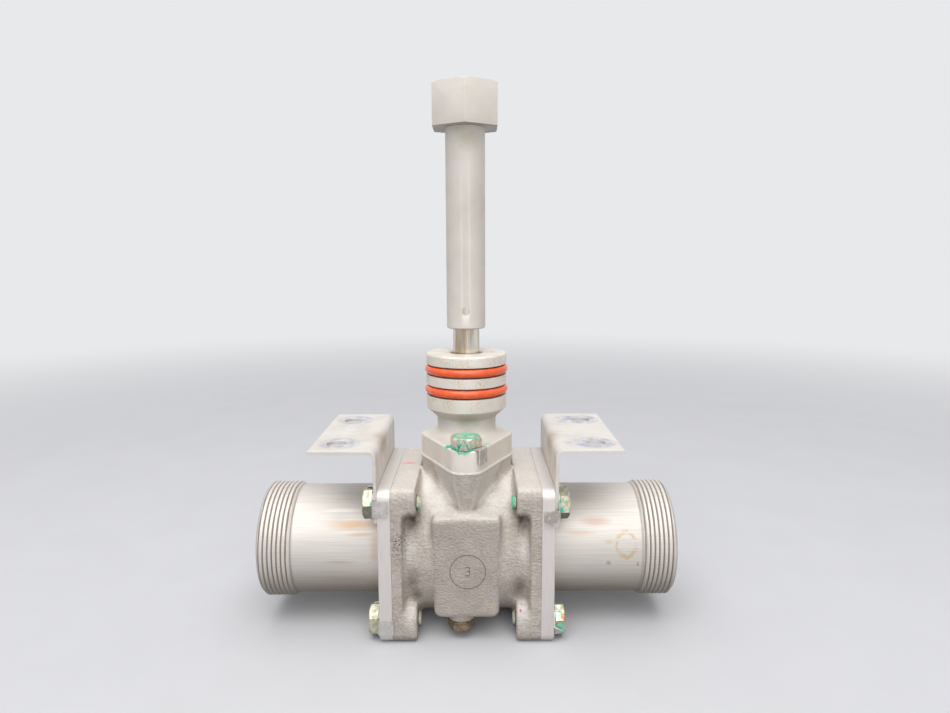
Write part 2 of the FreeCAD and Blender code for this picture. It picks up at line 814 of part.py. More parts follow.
def make_stem():
    def is_top_edge(edge):
        return flat_in(edge, "Z", stem_top)

    body = new_body("Stem")
    sketch = new_sketch(body, "StemOutline", "XZ_Plane")
    corners = [
        (0, shoulder_bottom),
        (stem_shoulder_radius, shoulder_bottom),
        (stem_shoulder_radius, shoulder_top),
        (s.stem_radius, shoulder_top),
    ]
    for step in (0, 1):
        low = stem_ring_level(step) - s.stem_ring_groove_width / 2
        high = low + s.stem_ring_groove_width
        corners += groove_corners(s.stem_radius, stem_ring_groove_radius, low, high)
    corners += [(s.stem_radius, stem_top), (0, stem_top)]
    add_polygon(sketch, corners)
    add_turned(body, "Shaft", "PartDesign::Revolution", sketch, "V_Axis")
    sketch = new_sketch(body, "TangOutline", "XY_Plane", shoulder_bottom)
    half_thick = s.tang_thickness / 2
    half_wide = s.tang_width / 2
    add_rectangle(sketch, -half_thick, half_thick, -half_wide, half_wide)
    add_pad(body, "Tang", sketch, s.tang_depth, backwards=True)
    sketch = new_sketch(body, "PinHoleOutline", "XZ_Plane")
    add_circle(sketch, 0, extension_bottom + s.pin_height, s.pin_radius + s.fitted_clearance)
    add_pocket(body, "PinHole", sketch, (s.extension_radius + s.cut_overrun) * 2, symmetric=True)
    add_dressing(body, "Chamfer", "StemTopBreak", is_top_edge, s.extension_edge_break)
    finish_node(body, "stem")


def make_stem_rings():
    half_gap = (stem_bore_radius - stem_ring_groove_radius) / 2
    rings = []
    for step in (0, 1):
        name = "stem_ring_%d" % (step + 1)
        middle = stem_ring_groove_radius + half_gap
        rings.append(add_ring(name, middle, half_gap - s.fitted_clearance, stem_ring_level(step)))
    make_group("stem_rings", rings)


def make_group(label, members):
    """Identical pieces that share one node."""
    group = doc.addObject("Part::Compound", label)
    group.Links = members
    group.Label = label
    NODES.append(group)


def make_extension():
    def is_rod_end(edge):
        return flat_in(edge, "Z", extension_bottom) and near(circle_radius(edge), s.extension_radius)

    body = new_body("Extension")
    sketch = new_sketch(body, "RodOutline", "XY_Plane", extension_bottom)
    add_circle(sketch, 0, 0, s.extension_radius)
    add_pad(body, "Rod", sketch, s.extension_rod_length)
    sketch = new_sketch(body, "HeadOutline", "XY_Plane", head_bottom)
    add_polygon(sketch, hexagon_corners(s.head_across_flats))
    add_pad(body, "Head", sketch, s.head_length)
    corner_reach = s.head_across_flats / ROOT_THREE
    sketch = new_sketch(body, "CornerCutOutline", "XZ_Plane")
    add_polygon(sketch, [
        (corner_reach - s.head_corner_cut, head_top),
        (corner_reach + s.head_corner_cut, head_top),
        (corner_reach + s.head_corner_cut, head_top - s.head_corner_cut * 2 / ROOT_THREE),
    ])
    add_turned(body, "CornerCut", "PartDesign::Groove", sketch, "V_Axis")
    sketch = new_sketch(body, "SocketOutline", "XY_Plane", extension_bottom)
    add_circle(sketch, 0, 0, s.stem_radius + s.fitted_clearance)
    add_pocket(body, "Socket", sketch, s.socket_depth, backwards=True)
    sketch = new_sketch(body, "PinHoleOutline", "XZ_Plane")
    add_circle(sketch, 0, extension_bottom + s.pin_height, s.pin_radius + s.fitted_clearance)
    add_pocket(body, "PinHole", sketch, (s.extension_radius + s.cut_overrun) * 2, symmetric=True)
    add_dressing(body, "Chamfer", "RodBreak", is_rod_end, s.extension_edge_break)
    finish_node(body, "stem_extension")


def make_extension_pin():
    pin = doc.addObject("Part::Cylinder", "ExtensionPin")
    bind(pin, "Radius", s.pin_radius)
    bind(pin, "Height", s.extension_radius * 2)
    pin.Label = "extension_pin"
    pin.Placement.Rotation = FreeCAD.Rotation(FreeCAD.Vector(1, 0, 0), 90)
    bind(pin, "Placement.Base.y", s.extension_radius)
    bind(pin, "Placement.Base.z", axis_height + extension_bottom + s.pin_height)
    NODES.append(pin)


# Ball and what seals it


def make_ball():
    body = new_body("Ball")
    sketch = new_sketch(body, "BallOutline", "XZ_Plane")
    radius = ball_radius
    top = FreeCAD.Vector(0, radius.number, 0)
    low = FreeCAD.Vector(0, -radius.number, 0)
    side = FreeCAD.Vector(radius.number, 0, 0)
    arc = sketch.addGeometry(Part.Arc(low, side, top), False)
    line = sketch.addGeometry(Part.LineSegment(top, low), False)
    sketch.addConstraint(Sketcher.Constraint("Coincident", arc, 2, line, 1))
    sketch.addConstraint(Sketcher.Constraint("Coincident", line, 2, arc, 1))
    pin_down(sketch, line, 1, 0, radius)
    pin_down(sketch, arc, 3, 0, 0)
    sketch.addConstraint(Sketcher.Constraint("PointOnObject", arc, 1, -2))
    add_turned(body, "Sphere", "PartDesign::Revolution", sketch, "V_Axis")
    sketch = new_sketch(body, "FlowOutline", "YZ_Plane")
    add_circle(sketch, 0, 0, s.flow_radius)
    add_pocket(body, "FlowBore", sketch, (radius + s.cut_overrun) * 2, symmetric=True)
    sketch = new_sketch(body, "SlotOutline", "XZ_Plane")
    half = s.tang_thickness / 2 + s.running_clearance
    add_rectangle(sketch, -half, half, radius - s.tang_depth - s.slot_floor_gap, radius + s.cut_overrun)
    add_pocket(body, "Slot", sketch, radius * 2, symmetric=True)
    finish_node(body, "ball")


def make_line_ring(body_name, label, corners, quarter_turns):
    """A ring about the pipe, turned from its outline."""
    body = new_body(body_name)
    sketch = new_sketch(body, "RingOutline", "XZ_Plane")
    add_polygon(sketch, corners)
    add_turned(body, "Ring", "PartDesign::Revolution", sketch, "H_Axis")
    finish_node(body, label, quarter_turns=quarter_turns)


def make_seats_and_rings():
    seat_outer = cavity_radius - s.loose_clearance
    face_radius = ball_radius + s.running_clearance
    groove_gap = (cavity_radius - face_ring_groove_radius) / 2
    ring_level = s.body_half_length - s.face_ring_inset - s.face_ring_groove_width / 2
    spring_outer = seat_outer - s.loose_clearance
    spring_inner = spring_outer - s.seat_spring_width
    seat_back = spigot_face - s.seat_spring_height
    spring_corners = [
        (seat_back, spring_outer),
        (seat_back + s.seat_spring_thickness, spring_outer),
        (spigot_face, spring_inner),
        (spigot_face - s.seat_spring_thickness, spring_inner),
    ]
    for side, quarter_turns in (("right", 0), ("left", 2)):
        seat = new_body(side.title() + "Seat")
        sketch = new_sketch(seat, "SeatOutline", "XZ_Plane")
        add_rectangle(sketch, seat_back - s.seat_depth, seat_back, s.flow_radius, seat_outer)
        add_turned(seat, "SeatRing", "PartDesign::Revolution", sketch, "H_Axis")
        sketch = new_sketch(seat, "SeatFaceOutline", "XZ_Plane")
        radius = face_radius.number
        right = FreeCAD.Vector(radius, 0, 0)
        top = FreeCAD.Vector(0, radius, 0)
        arc = sketch.addGeometry(Part.Arc(right, top, -right), False)
        line = sketch.addGeometry(Part.LineSegment(-right, right), False)
        sketch.addConstraint(Sketcher.Constraint("Coincident", arc, 2, line, 1))
        sketch.addConstraint(Sketcher.Constraint("Coincident", line, 2, arc, 1))
        pin_down(sketch, line, 1, -face_radius, 0)
        pin_down(sketch, arc, 3, 0, 0)
        sketch.addConstraint(Sketcher.Constraint("PointOnObject", arc, 1, -1))
        add_turned(seat, "SeatFace", "PartDesign::Groove", sketch, "H_Axis")
        finish_node(seat, side + "_seat", quarter_turns=quarter_turns)
        make_line_ring(side.title() + "SeatSpring", side + "_seat_spring", spring_corners, quarter_turns)
        level = ring_level if side == "right" else -ring_level
        ring_middle = face_ring_groove_radius + groove_gap
        section = groove_gap - s.fitted_clearance
        NODES.append(add_ring(side + "_face_ring", ring_middle, section, level, along_pipe=True))


# Threaded tubes with square flanges


def make_adapters():
    ring_outer = s.body_half_length - s.face_ring_inset
    ring_inner = ring_outer - s.face_ring_groove_width
    thread_start = tube_end - s.port_thread_length
    middle = s.body_half_length + s.adapter_flange_thickness / 2

    def is_flange_edge(edge):
        return flat_in(edge, "X", adapter_face) and near(outermost(edge), flange_half, 1e-3)

    for side, quarter_turns in (("right", 0), ("left", 2)):
        body = new_body(side.title() + "Adapter")
        sketch = new_sketch(body, "TubeOutline", "XZ_Plane")
        add_polygon(sketch, [
            (spigot_face, s.flow_radius),
            (tube_end, s.flow_radius),
            (tube_end, port_thread_radius - s.port_chamfer),
            (tube_end - s.port_chamfer, port_thread_radius),
            (thread_start, port_thread_radius),
            (thread_start - s.port_runout_length, tube_outer_radius),
            (middle, tube_outer_radius),
            (middle, adapter_spigot_radius),
            (ring_outer, adapter_spigot_radius),
            (ring_outer, face_ring_groove_radius),
            (ring_inner, face_ring_groove_radius),
            (ring_inner, adapter_spigot_radius),
            (spigot_face, adapter_spigot_radius),
        ])
        add_turned(body, "Tube", "PartDesign::Revolution", sketch, "H_Axis")
        sketch = new_sketch(body, "FlangeOutline", "YZ_Plane", s.body_half_length)
        add_flange_square(sketch)
        add_circle(sketch, 0, 0, (s.flow_radius + tube_outer_radius) / 2)
        add_pad(body, "Flange", sketch, s.adapter_flange_thickness)
        sketch = new_sketch(body, "BoltHoleOutline", "YZ_Plane", adapter_face)
        four_bolt_circles(sketch, s.bolt_radius + s.bolt_hole_clearance)
        add_pocket(body, "BoltHoles", sketch, s.adapter_flange_thickness)
        add_dressing(body, "Chamfer", "FlangeBreak", is_flange_edge, s.flange_edge_break)
        finish_node(body, side + "_adapter", quarter_turns=quarter_turns)


# Bent sheet brackets


def make_brackets():
    for side, quarter_turns in (("right", 0), ("left", 2)):
        body = new_body(side.title() + "Bracket")
        sketch = new_sketch(body, "SheetOutline", "XZ_Plane")
        add_polygon(sketch, [
            (adapter_face, bracket_foot),
            (bracket_face, bracket_foot),
            (bracket_face, bracket_top - s.sheet_thickness),
            (bracket_reach, bracket_top - s.sheet_thickness),
            (bracket_reach, bracket_top),
            (adapter_face, bracket_top),
        ])
        add_pad(body, "Sheet", sketch, (flange_half - s.bracket_side_inset) * 2, symmetric=True)
        inner = (number_of(bracket_face), number_of(bracket_top - s.sheet_thickness))
        outer = (number_of(adapter_face), number_of(bracket_top))

        def is_bend(edge, spot):
            box = edge.BoundBox
            return runs_along(edge, "Y") and near(box.XMin, spot[0], 1e-3) and near(box.ZMin, spot[1], 1e-3)

        outer_radius = s.bracket_bend_radius + s.sheet_thickness
        add_dressing(body, "Fillet", "InnerBend", lambda edge: is_bend(edge, inner), s.bracket_bend_radius)
        add_dressing(body, "Fillet", "OuterBend", lambda edge: is_bend(edge, outer), outer_radius)
        sketch = new_sketch(body, "ArchOutline", "YZ_Plane", adapter_face)
        add_circle(sketch, 0, 0, bracket_arch_radius)
        for across in (-flange_bolt_offset, flange_bolt_offset):
            add_circle(sketch, across, flange_bolt_offset, s.bolt_radius + s.bolt_hole_clearance)
        add_pocket(body, "ArchAndHoles", sketch, s.sheet_thickness, backwards=True)
        sketch = new_sketch(body, "MountHoleOutline", "XY_Plane", bracket_top)
        for across in (-s.bracket_hole_y, s.bracket_hole_y):
            add_circle(sketch, bracket_hole_x, across, s.bracket_hole_radius)
        add_pocket(body, "MountHoles", sketch, s.sheet_thickness)
        finish_node(body, side + "_bracket", quarter_turns=quarter_turns)


# Fasteners


def make_bolt(name, across_flats, head_height, radius, length):
    """A hexagon bolt with its bearing face on the local XY plane and its shank pointing down."""
    reach = across_flats / ROOT_THREE
    prism = doc.addObject("Part::Prism", name + "_prism")
    prism.Polygon = 6
    bind(prism, "Circumradius", reach)
    bind(prism, "Height", head_height)
    crown = doc.addObject("Part::Cone", name + "_crown")
    bind(crown, "Radius1", across_flats / 2 + head_height * ROOT_THREE)
    bind(crown, "Radius2", across_flats / 2)
    bind(crown, "Height", head_height)
    head = doc.addObject("Part::Common", name + "_head")
    head.Base = prism
    head.Tool = crown
    shank = doc.addObject("Part::Cylinder", name + "_shank")
    bind(shank, "Radius", radius)
    bind(shank, "Height", length)
    bind(shank, "Placement.Base.z", -length)
    bolt = doc.addObject("Part::Fuse", name)
    bolt.Base = head
    bolt.Tool = shank
    return bolt


def make_quarter_inch_bolt(name, length):
    return make_bolt(name, s.bolt_across_flats, s.bolt_head_height, s.bolt_radius, length)


def make_tab_washer(name, edge_distance):
    """A lock washer on the local XY plane, with a tab bent down over an edge on its -Y side."""
    disc = doc.addObject("Part::Cylinder", name + "_disc")
    bind(disc, "Radius", s.washer_radius)
    bind(disc, "Height", s.washer_thickness)
    tab_face = edge_distance + s.loose_clearance
    tongue = doc.addObject("Part::Box", name + "_tongue")
    drop = doc.addObject("Part::Box", name + "_drop")
    prong = doc.addObject("Part::Box", name + "_prong")
    widths = (s.washer_tab_width, s.washer_tab_width, s.washer_prong_width)
    for plate, width in zip((tongue, drop, prong), widths):
        bind(plate, "Length", width)
        bind(plate, "Placement.Base.x", -width / 2)
    bind(tongue, "Width", tab_face + s.washer_thickness)
    bind(tongue, "Height", s.washer_thickness)
    bind(tongue, "Placement.Base.y", -(tab_face + s.washer_thickness))
    bind(drop, "Width", s.washer_thickness)
    bind(drop, "Height", s.washer_tab_drop)
    bind(drop, "Placement.Base.y", -(tab_face + s.washer_thickness))
    bind(drop, "Placement.Base.z", s.washer_thickness - s.washer_tab_drop)
    bind(prong, "Width", s.washer_thickness)
    bind(prong, "Height", s.washer_prong_height)
    bind(prong, "Placement.Base.y", s.bolt_across_flats / 2 + s.loose_clearance)
    sheet_metal = doc.addObject("Part::MultiFuse", name + "_sheet")
    sheet_metal.Shapes = [disc, tongue, drop, prong]
    hole = doc.addObject("Part::Cylinder", name + "_hole")
    bind(hole, "Radius", s.bolt_radius + s.bolt_hole_clearance)
    bind(hole, "Height", s.washer_thickness)
    washer = doc.addObject("Part::Cut", name)
    washer.Base = sheet_metal
    washer.Tool = hole
    return washer


def add_copy(master, name, place, turn):
    """A copy of a fastener, set down at a place that follows the sizes."""
    copy = doc.addObject("App::Link", name)
    copy.setLink(master)
    copy.Placement = FreeCAD.Placement(FreeCAD.Vector(0, 0, 0), turn)
    for axis, value in zip("xyz", place):
        bind(copy, "Placement.Base." + axis, value)
    return copy


def make_flange_fasteners():
    upper_bolt = make_quarter_inch_bolt("UpperFlangeBolt", s.upper_bolt_length)
    lower_bolt = make_quarter_inch_bolt("LowerFlangeBolt", s.lower_bolt_length)
    washer = make_tab_washer("FlangeTabWasher", s.bolt_edge_distance)
    for side, direction in (("right", 1), ("left", -1)):
        bolts = []
        washers = []
        outward = FreeCAD.Rotation(FreeCAD.Vector(0, 0, 1), FreeCAD.Vector(direction, 0, 0))
        for across in (-1, 1):
            for up in (-1, 1):
                seat = bracket_face if up > 0 else adapter_face
                bolt = upper_bolt if up > 0 else lower_bolt
                row = "upper" if up > 0 else "lower"
                spot = "%s_%s_%s" % (side, "rear" if across > 0 else "front", row)
                height = axis_height + flange_bolt_offset * up
                depth = flange_bolt_offset * across
                spin = FreeCAD.Rotation(FreeCAD.Vector(0, 0, 1), 0 if across < 0 else 180)
                place = (seat * direction, depth, height)
                washers.append(add_copy(washer, spot + "_washer", place, outward * spin))
                place = ((seat + s.washer_thickness) * direction, depth, height)
                bolts.append(add_copy(bolt, spot + "_bolt", place, outward))
        make_group(side + "_flange_bolts", bolts)
        make_group(side + "_tab_washers", washers)


def make_bonnet_fasteners():
    slope = bonnet_side_reach - s.bonnet_front_half_width
    lean = math.atan2(slope.number, bonnet_front_reach.number)
    edge_run = slope * bonnet_bolt_offset / bonnet_front_reach
    edge_distance = (bonnet_side_reach - edge_run) * math.cos(lean)
    bolt = make_quarter_inch_bolt("BonnetBolt", s.bonnet_bolt_length)
    washer = make_tab_washer("BonnetTabWasher", edge_distance)
    bolts = []
    washers = []
    for end, spot in ((-1, "front"), (1, "rear")):
        spin = FreeCAD.Rotation(FreeCAD.Vector(0, 0, 1), 90 - math.degrees(lean) + (0 if end < 0 else 180))
        depth = bonnet_bolt_offset * end
        level = axis_height + flange_top
        washers.append(add_copy(washer, spot + "_bonnet_washer", (0, depth, level), spin))
        bolts.append(add_copy(bolt, spot + "_bonnet_bolt", (0, depth, level + s.washer_thickness), spin))
    make_group("bonnet_bolts", bolts)
    make_group("bonnet_tab_washers", washers)


def make_drain_fasteners():
    head = (s.plug_across_flats, s.plug_head_height)
    plug = make_bolt("DrainPlug", *head, s.plug_radius, s.plug_length)
    seat = axis_height - boss_bottom
    plug.Label = "drain_plug"
    plug.Placement.Rotation = FreeCAD.Rotation(FreeCAD.Vector(1, 0, 0), 180)
    bind(plug, "Placement.Base.x", -s.drain_side_offset)
    bind(plug, "Placement.Base.y", -drain_offset)
    bind(plug, "Placement.Base.z", seat - s.washer_thickness)
    NODES.append(plug)
    hole = s.plug_radius + s.loose_clearance
    low = -boss_bottom - s.washer_thickness
    add_tube("drain_plug_washer", hole, s.plug_washer_radius, low, -boss_bottom)
    bind(NODES[-1], "Placement.Base.x", -s.drain_side_offset)
    bind(NODES[-1], "Placement.Base.y", -drain_offset)


# Build every piece, check it, and write it

make_valve_body()
make_bonnet()
make_port_rings()
make_bonnet_ring()
make_bushings()
make_stem()
make_stem_rings()
make_extension()
make_extension_pin()
make_ball()
make_seats_and_rings()
make_adapters()
make_brackets()
make_flange_fasteners()
make_bonnet_fasteners()
make_drain_fasteners()
doc.recompute()

for thing in doc.Objects:
    if "Invalid" in thing.State or "Error" in thing.State:
        raise RuntimeError("%s failed: %s" % (thing.Name, thing.State))
for node in NODES:
    if node.Shape.isNull() or not node.Shape.isValid() or not node.Shape.Solids:
        raise RuntimeError("%s has no valid solid" % node.Label)

os.makedirs("parts", exist_ok=True)
for node in NODES:
    node.Shape.exportStep("parts/%s.step" % node.Label)
    print("%-22s %2d solids  %10.1f mm3" % (node.Label, len(node.Shape.Solids), node.Shape.Volume))
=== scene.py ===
import json
import math

import bmesh
import bpy
import numpy
from mathutils import Matrix, Vector
from mathutils.bvhtree import BVHTree


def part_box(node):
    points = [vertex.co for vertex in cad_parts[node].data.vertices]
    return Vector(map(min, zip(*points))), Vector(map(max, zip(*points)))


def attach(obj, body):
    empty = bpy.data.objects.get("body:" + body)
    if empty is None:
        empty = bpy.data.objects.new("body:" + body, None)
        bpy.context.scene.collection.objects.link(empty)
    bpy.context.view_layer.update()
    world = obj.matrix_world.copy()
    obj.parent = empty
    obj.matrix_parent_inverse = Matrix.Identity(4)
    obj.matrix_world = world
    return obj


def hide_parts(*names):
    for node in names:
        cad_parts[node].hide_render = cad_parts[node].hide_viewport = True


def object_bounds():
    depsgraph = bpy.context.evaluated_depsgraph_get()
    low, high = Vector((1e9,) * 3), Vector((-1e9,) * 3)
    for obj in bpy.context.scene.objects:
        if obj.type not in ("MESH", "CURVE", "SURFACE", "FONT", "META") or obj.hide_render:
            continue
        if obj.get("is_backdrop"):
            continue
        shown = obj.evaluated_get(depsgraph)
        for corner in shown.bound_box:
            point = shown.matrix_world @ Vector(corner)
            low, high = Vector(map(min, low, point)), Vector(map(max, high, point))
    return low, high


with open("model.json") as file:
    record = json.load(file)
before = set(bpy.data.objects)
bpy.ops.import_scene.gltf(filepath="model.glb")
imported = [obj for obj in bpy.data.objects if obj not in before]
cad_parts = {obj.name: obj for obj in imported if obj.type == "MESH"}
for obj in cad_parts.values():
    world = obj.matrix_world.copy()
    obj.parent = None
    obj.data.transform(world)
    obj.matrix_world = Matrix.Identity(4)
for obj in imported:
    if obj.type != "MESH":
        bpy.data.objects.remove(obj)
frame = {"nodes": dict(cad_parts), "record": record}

# %% [markdown]
# A shut-off valve, dressed for its picture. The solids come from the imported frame: a sand-cast
# body between two threaded tubes, a turned bonnet with two orange rings, and a long bar with a
# hexagon that turns the ball. This lesson builds the finishes and the pieces that solids leave
# plain, such as threads and bent lock washers. Everything is in metres, in the frame's own axes:
# X along the pipe, Z up along the stem.

# %% Measure the frame
MM = 0.001
cad_low, cad_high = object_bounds()
nodes = frame["nodes"]


def box_mm(node):
    """Lowest and highest corner of a solid, in millimetres."""
    low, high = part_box(node)
    return low / MM, high / MM


tube_low, tube_high = box_mm("right_adapter")
body_high = box_mm("valve_body")[1]
AXIS_HEIGHT = (tube_low.z + tube_high.z) / 2
FLANGE_HALF = tube_high.y
TUBE_END = tube_high.x
BODY_END = body_high.x
PAD_TOP = body_high.z
print("axis height %.2f mm, tube ends at %.2f mm" % (AXIS_HEIGHT, TUBE_END))

# %% [markdown]
# The real valve's other sizes, in millimetres. They match the solids and place what this script
# adds to them.

# %% Sizes that the new pieces need
FLANGE_THICKNESS = 5.2
FLANGE_CORNER = 4.0
BOLT_OFFSET = 24.4
BOLT_RADIUS = 3.175
BOLT_FLATS = 11.11
BOLT_HEAD = 3.97
UPPER_BOLT_LENGTH = 18.4
LOWER_BOLT_LENGTH = 16.7
BONNET_BOLT_LENGTH = 19.05
SHEET_THICKNESS = 1.27
WASHER_THICKNESS = 0.6
WASHER_RADIUS = 6.0
FLOW_RADIUS = 19.05
TUBE_RADIUS = 22.65
THREAD_RADIUS = 23.81
THREAD_LENGTH = 13.6
THREADS_PER_INCH = 14
SPIGOT_RADIUS = 25.5
SPIGOT_FACE = 21.4
ADAPTER_FACE = BODY_END + FLANGE_THICKNESS
BRACKET_FACE = ADAPTER_FACE + SHEET_THICKNESS
BONNET_TOP = PAD_TOP + 8.55
BONNET_BOLT = 22.9
SLAB_FRONT = 30.5
ROUND_STEPS = 192
print("bracket face at %.2f mm, bonnet top at %.2f mm" % (BRACKET_FACE, BONNET_TOP))


def on_valve(x, y, up):
    """A place given in millimetres from the middle of the ball, as a vector in metres."""
    return Vector((x, y, up + AXIS_HEIGHT)) * MM


# %% [markdown]
# The camera stands where the photographer's did. Its lens, height and slight tilt were worked out
# from the straight and round outlines of the valve, so the picture needs no cropping or shift.

# %% Camera
CAMERA_PLACE = on_valve(3.63, -279.05, 120.62)
CAMERA_PITCH = math.radians(8.53)
CAMERA_ROLL = math.radians(-0.21)
CAMERA_LENS = 25.63


def in_scene(name, data):
    """A new object, linked to the scene."""
    obj = bpy.data.objects.new(name, data)
    bpy.context.scene.collection.objects.link(obj)
    return obj


camera_data = bpy.data.cameras.new("camera")
camera_data.lens = CAMERA_LENS
camera_data.clip_start = 0.01
camera = in_scene("camera", camera_data)
forward = Vector((0, math.cos(CAMERA_PITCH), -math.sin(CAMERA_PITCH)))
level_up = Vector((0, math.sin(CAMERA_PITCH), math.cos(CAMERA_PITCH)))
side = Vector((1, 0, 0))
right = side * math.cos(CAMERA_ROLL) + level_up * math.sin(CAMERA_ROLL)
upward = level_up * math.cos(CAMERA_ROLL) - side * math.sin(CAMERA_ROLL)
turned = Matrix((right, upward, -forward)).transposed()
camera.matrix_world = Matrix.Translation(CAMERA_PLACE) @ turned.to_4x4()
bpy.context.scene.camera = camera
print("camera lens %.2f mm" % camera_data.lens)

# %% [markdown]
# Every finish is a small tree of shader nodes. One function makes a node with its settings and
# its links, and the class below keeps the trees short to write: it makes the material, and each
# of its methods adds one idea, such as grain, a stain at a place, or a painted highlight along
# edges. All patterns read Object coordinates in metres, so they stay on the metal when a piece
# turns.


# %% Helpers that build finishes
def screen_colour(red, green, blue):
    """A colour in the usual 0 to 255 screen values, as the linear light that the shader wants."""
    parts = []
    for value in (red, green, blue):
        share = value / 255
        parts.append(share / 12.92 if share <= 0.04045 else ((share + 0.055) / 1.055) ** 2.4)
    return (*parts, 1.0)


def add_node(tree, kind, inputs=None, **settings):
    """One node of a tree, its settings, and its inputs as values or as links."""
    node = tree.nodes.new(kind)
    for name, value in settings.items():
        setattr(node, name, value)
    for socket, value in (inputs or {}).items():
        if isinstance(value, bpy.types.NodeSocket):
            tree.links.new(value, node.inputs[socket])
        else:
            node.inputs[socket].default_value = value
    return node


class Finish:
    """One material, and short ways to add to it."""

    def __init__(self, name, **sockets):
        self.material = bpy.data.materials.new(name)
        self.material.use_nodes = True
        self.tree = self.material.node_tree
        self.shader = self.tree.nodes["Principled BSDF"]
        self.place = self.add("TexCoord").outputs["Object"]
        self.normal = None
        for socket, value in sockets.items():
            self.shader.inputs[socket.replace("_", " ")].default_value = value

    def add(self, kind, inputs=None, **settings):
        """One shader node of this finish."""
        return add_node(self.tree, "ShaderNode" + kind, inputs, **settings)

    def math(self, operation, first, second=0.0, third=0.0):
        """The result of one sum on up to three values."""
        return self.add("Math", {0: first, 1: second, 2: third}, operation=operation).outputs[0]

    def both(self, first, second):
        """Where two masks overlap, or one mask at a share of its strength."""
        return self.math("MULTIPLY", first, second)

    def between(self, value, low, high):
        """0 at low and 1 at high, with a soft change between."""
        inputs = {"Value": value, "From Min": low, "From Max": high}
        return self.add("MapRange", inputs, interpolation_type="SMOOTHSTEP").outputs["Result"]

    def grain(self, size, detail=3.0, stretch=(1, 1, 1), roughness=0.55):
        """Noise with spots about this many millimetres across, longer along a stretched axis."""
        scale = [1 / share for share in stretch]
        place = self.add("Mapping", {"Vector": self.place, "Scale": scale}).outputs["Vector"]
        return self.add("TexNoise", {
            "Vector": place, "Scale": 1 / (size * MM), "Detail": detail, "Roughness": roughness,
        }).outputs["Fac"]

    def axis(self, name):
        """How far along X, Y or Z a point lies, in metres."""
        return self.add("SeparateXYZ", {0: self.place}).outputs[name]

    def away_from(self, point, flatten=(1, 1, 1)):
        """Distance in metres from a point, or from a line where an axis is flattened to 0."""
        moved = self.add("VectorMath", {0: self.place, 1: point}, operation="SUBTRACT").outputs[0]
        flat = self.add("VectorMath", {0: moved, 1: flatten}, operation="MULTIPLY").outputs[0]
        return self.add("VectorMath", {0: flat}, operation="LENGTH").outputs["Value"]

    def spot(self, point, radius, flatten=(1, 1, 1), ragged=0.35, soft=0.25, grain=None):
        """1 inside a ragged round spot, in millimetres, and 0 outside. More soft: a wider rim."""
        distance = self.away_from(point, flatten)
        grain = self.grain(radius * 0.5) if grain is None else grain
        uneven = self.math("MULTIPLY_ADD", grain, radius * ragged * MM * 2, distance)
        return self.between(uneven, radius * (1 + ragged) * MM, radius * (1 + ragged - soft) * MM)

    def blend(self, share, first, second):
        """The second colour over the first by a share, which may be a mask."""
        return self.add("Mix", {0: share, 6: first, 7: second}, data_type="RGBA").outputs[2]

    def stain(self, colour, mask, share, tint):
        """The colour with a tint over it where the mask is 1, at most by the share."""
        return self.blend(self.both(mask, share), colour, tint)

    def patch(self, low, high, soft=1.5):
        """1 inside a box with soft sides, both corners in metres."""
        mask = None
        for index, name in enumerate("XYZ"):
            value = self.axis(name)
            rise = self.between(value, low[index] - soft * MM, low[index] + soft * MM)
            fall = self.between(value, high[index] + soft * MM, high[index] - soft * MM)
            inside = self.both(rise, fall)
            mask = inside if mask is None else self.both(mask, inside)
        return mask

    def facing(self, axis):
        """How much the surface faces along an axis, from -1 to 1."""
        normal = self.add("NewGeometry").outputs["Normal"]
        return self.add("SeparateXYZ", {0: normal}).outputs[axis]

    def hollows(self, reach):
        """1 deep in corners that are narrower than the reach in millimetres, 0 in the open."""
        open_sky = self.add("AmbientOcclusion", {"Distance": reach * MM}, samples=6).outputs["AO"]
        return self.between(open_sky, 0.75, 0.25)

    def edges(self, width=0.35):
        """1 along sharp edges, found by comparing the surface with a rounded copy of itself."""
        rounded = self.add("Bevel", {"Radius": width * MM}, samples=4).outputs["Normal"]
        straight = self.add("NewGeometry").outputs["Normal"]
        alike = self.add("VectorMath", {0: rounded, 1: straight}, operation="DOT_PRODUCT")
        return self.between(alike.outputs["Value"], 0.985, 0.8)

    def bump(self, height, depth):
        """Raise the surface by up to this many millimetres where the height is 1."""
        inputs = {"Height": height, "Distance": depth * MM, "Strength": 1.0}
        if self.normal is not None:
            inputs["Normal"] = self.normal
        self.normal = self.add("Bump", inputs).outputs["Normal"]

    def finish(self, colour, roughness):
        """Join the colour, the roughness and the bumps to the shader."""
        self.tree.links.new(colour, self.shader.inputs["Base Color"])
        self.tree.links.new(roughness, self.shader.inputs["Roughness"])
        if self.normal is not None:
            self.tree.links.new(self.normal, self.shader.inputs["Normal"])
        print("finish", self.material.name, len(self.tree.nodes), "nodes")
        return self.material
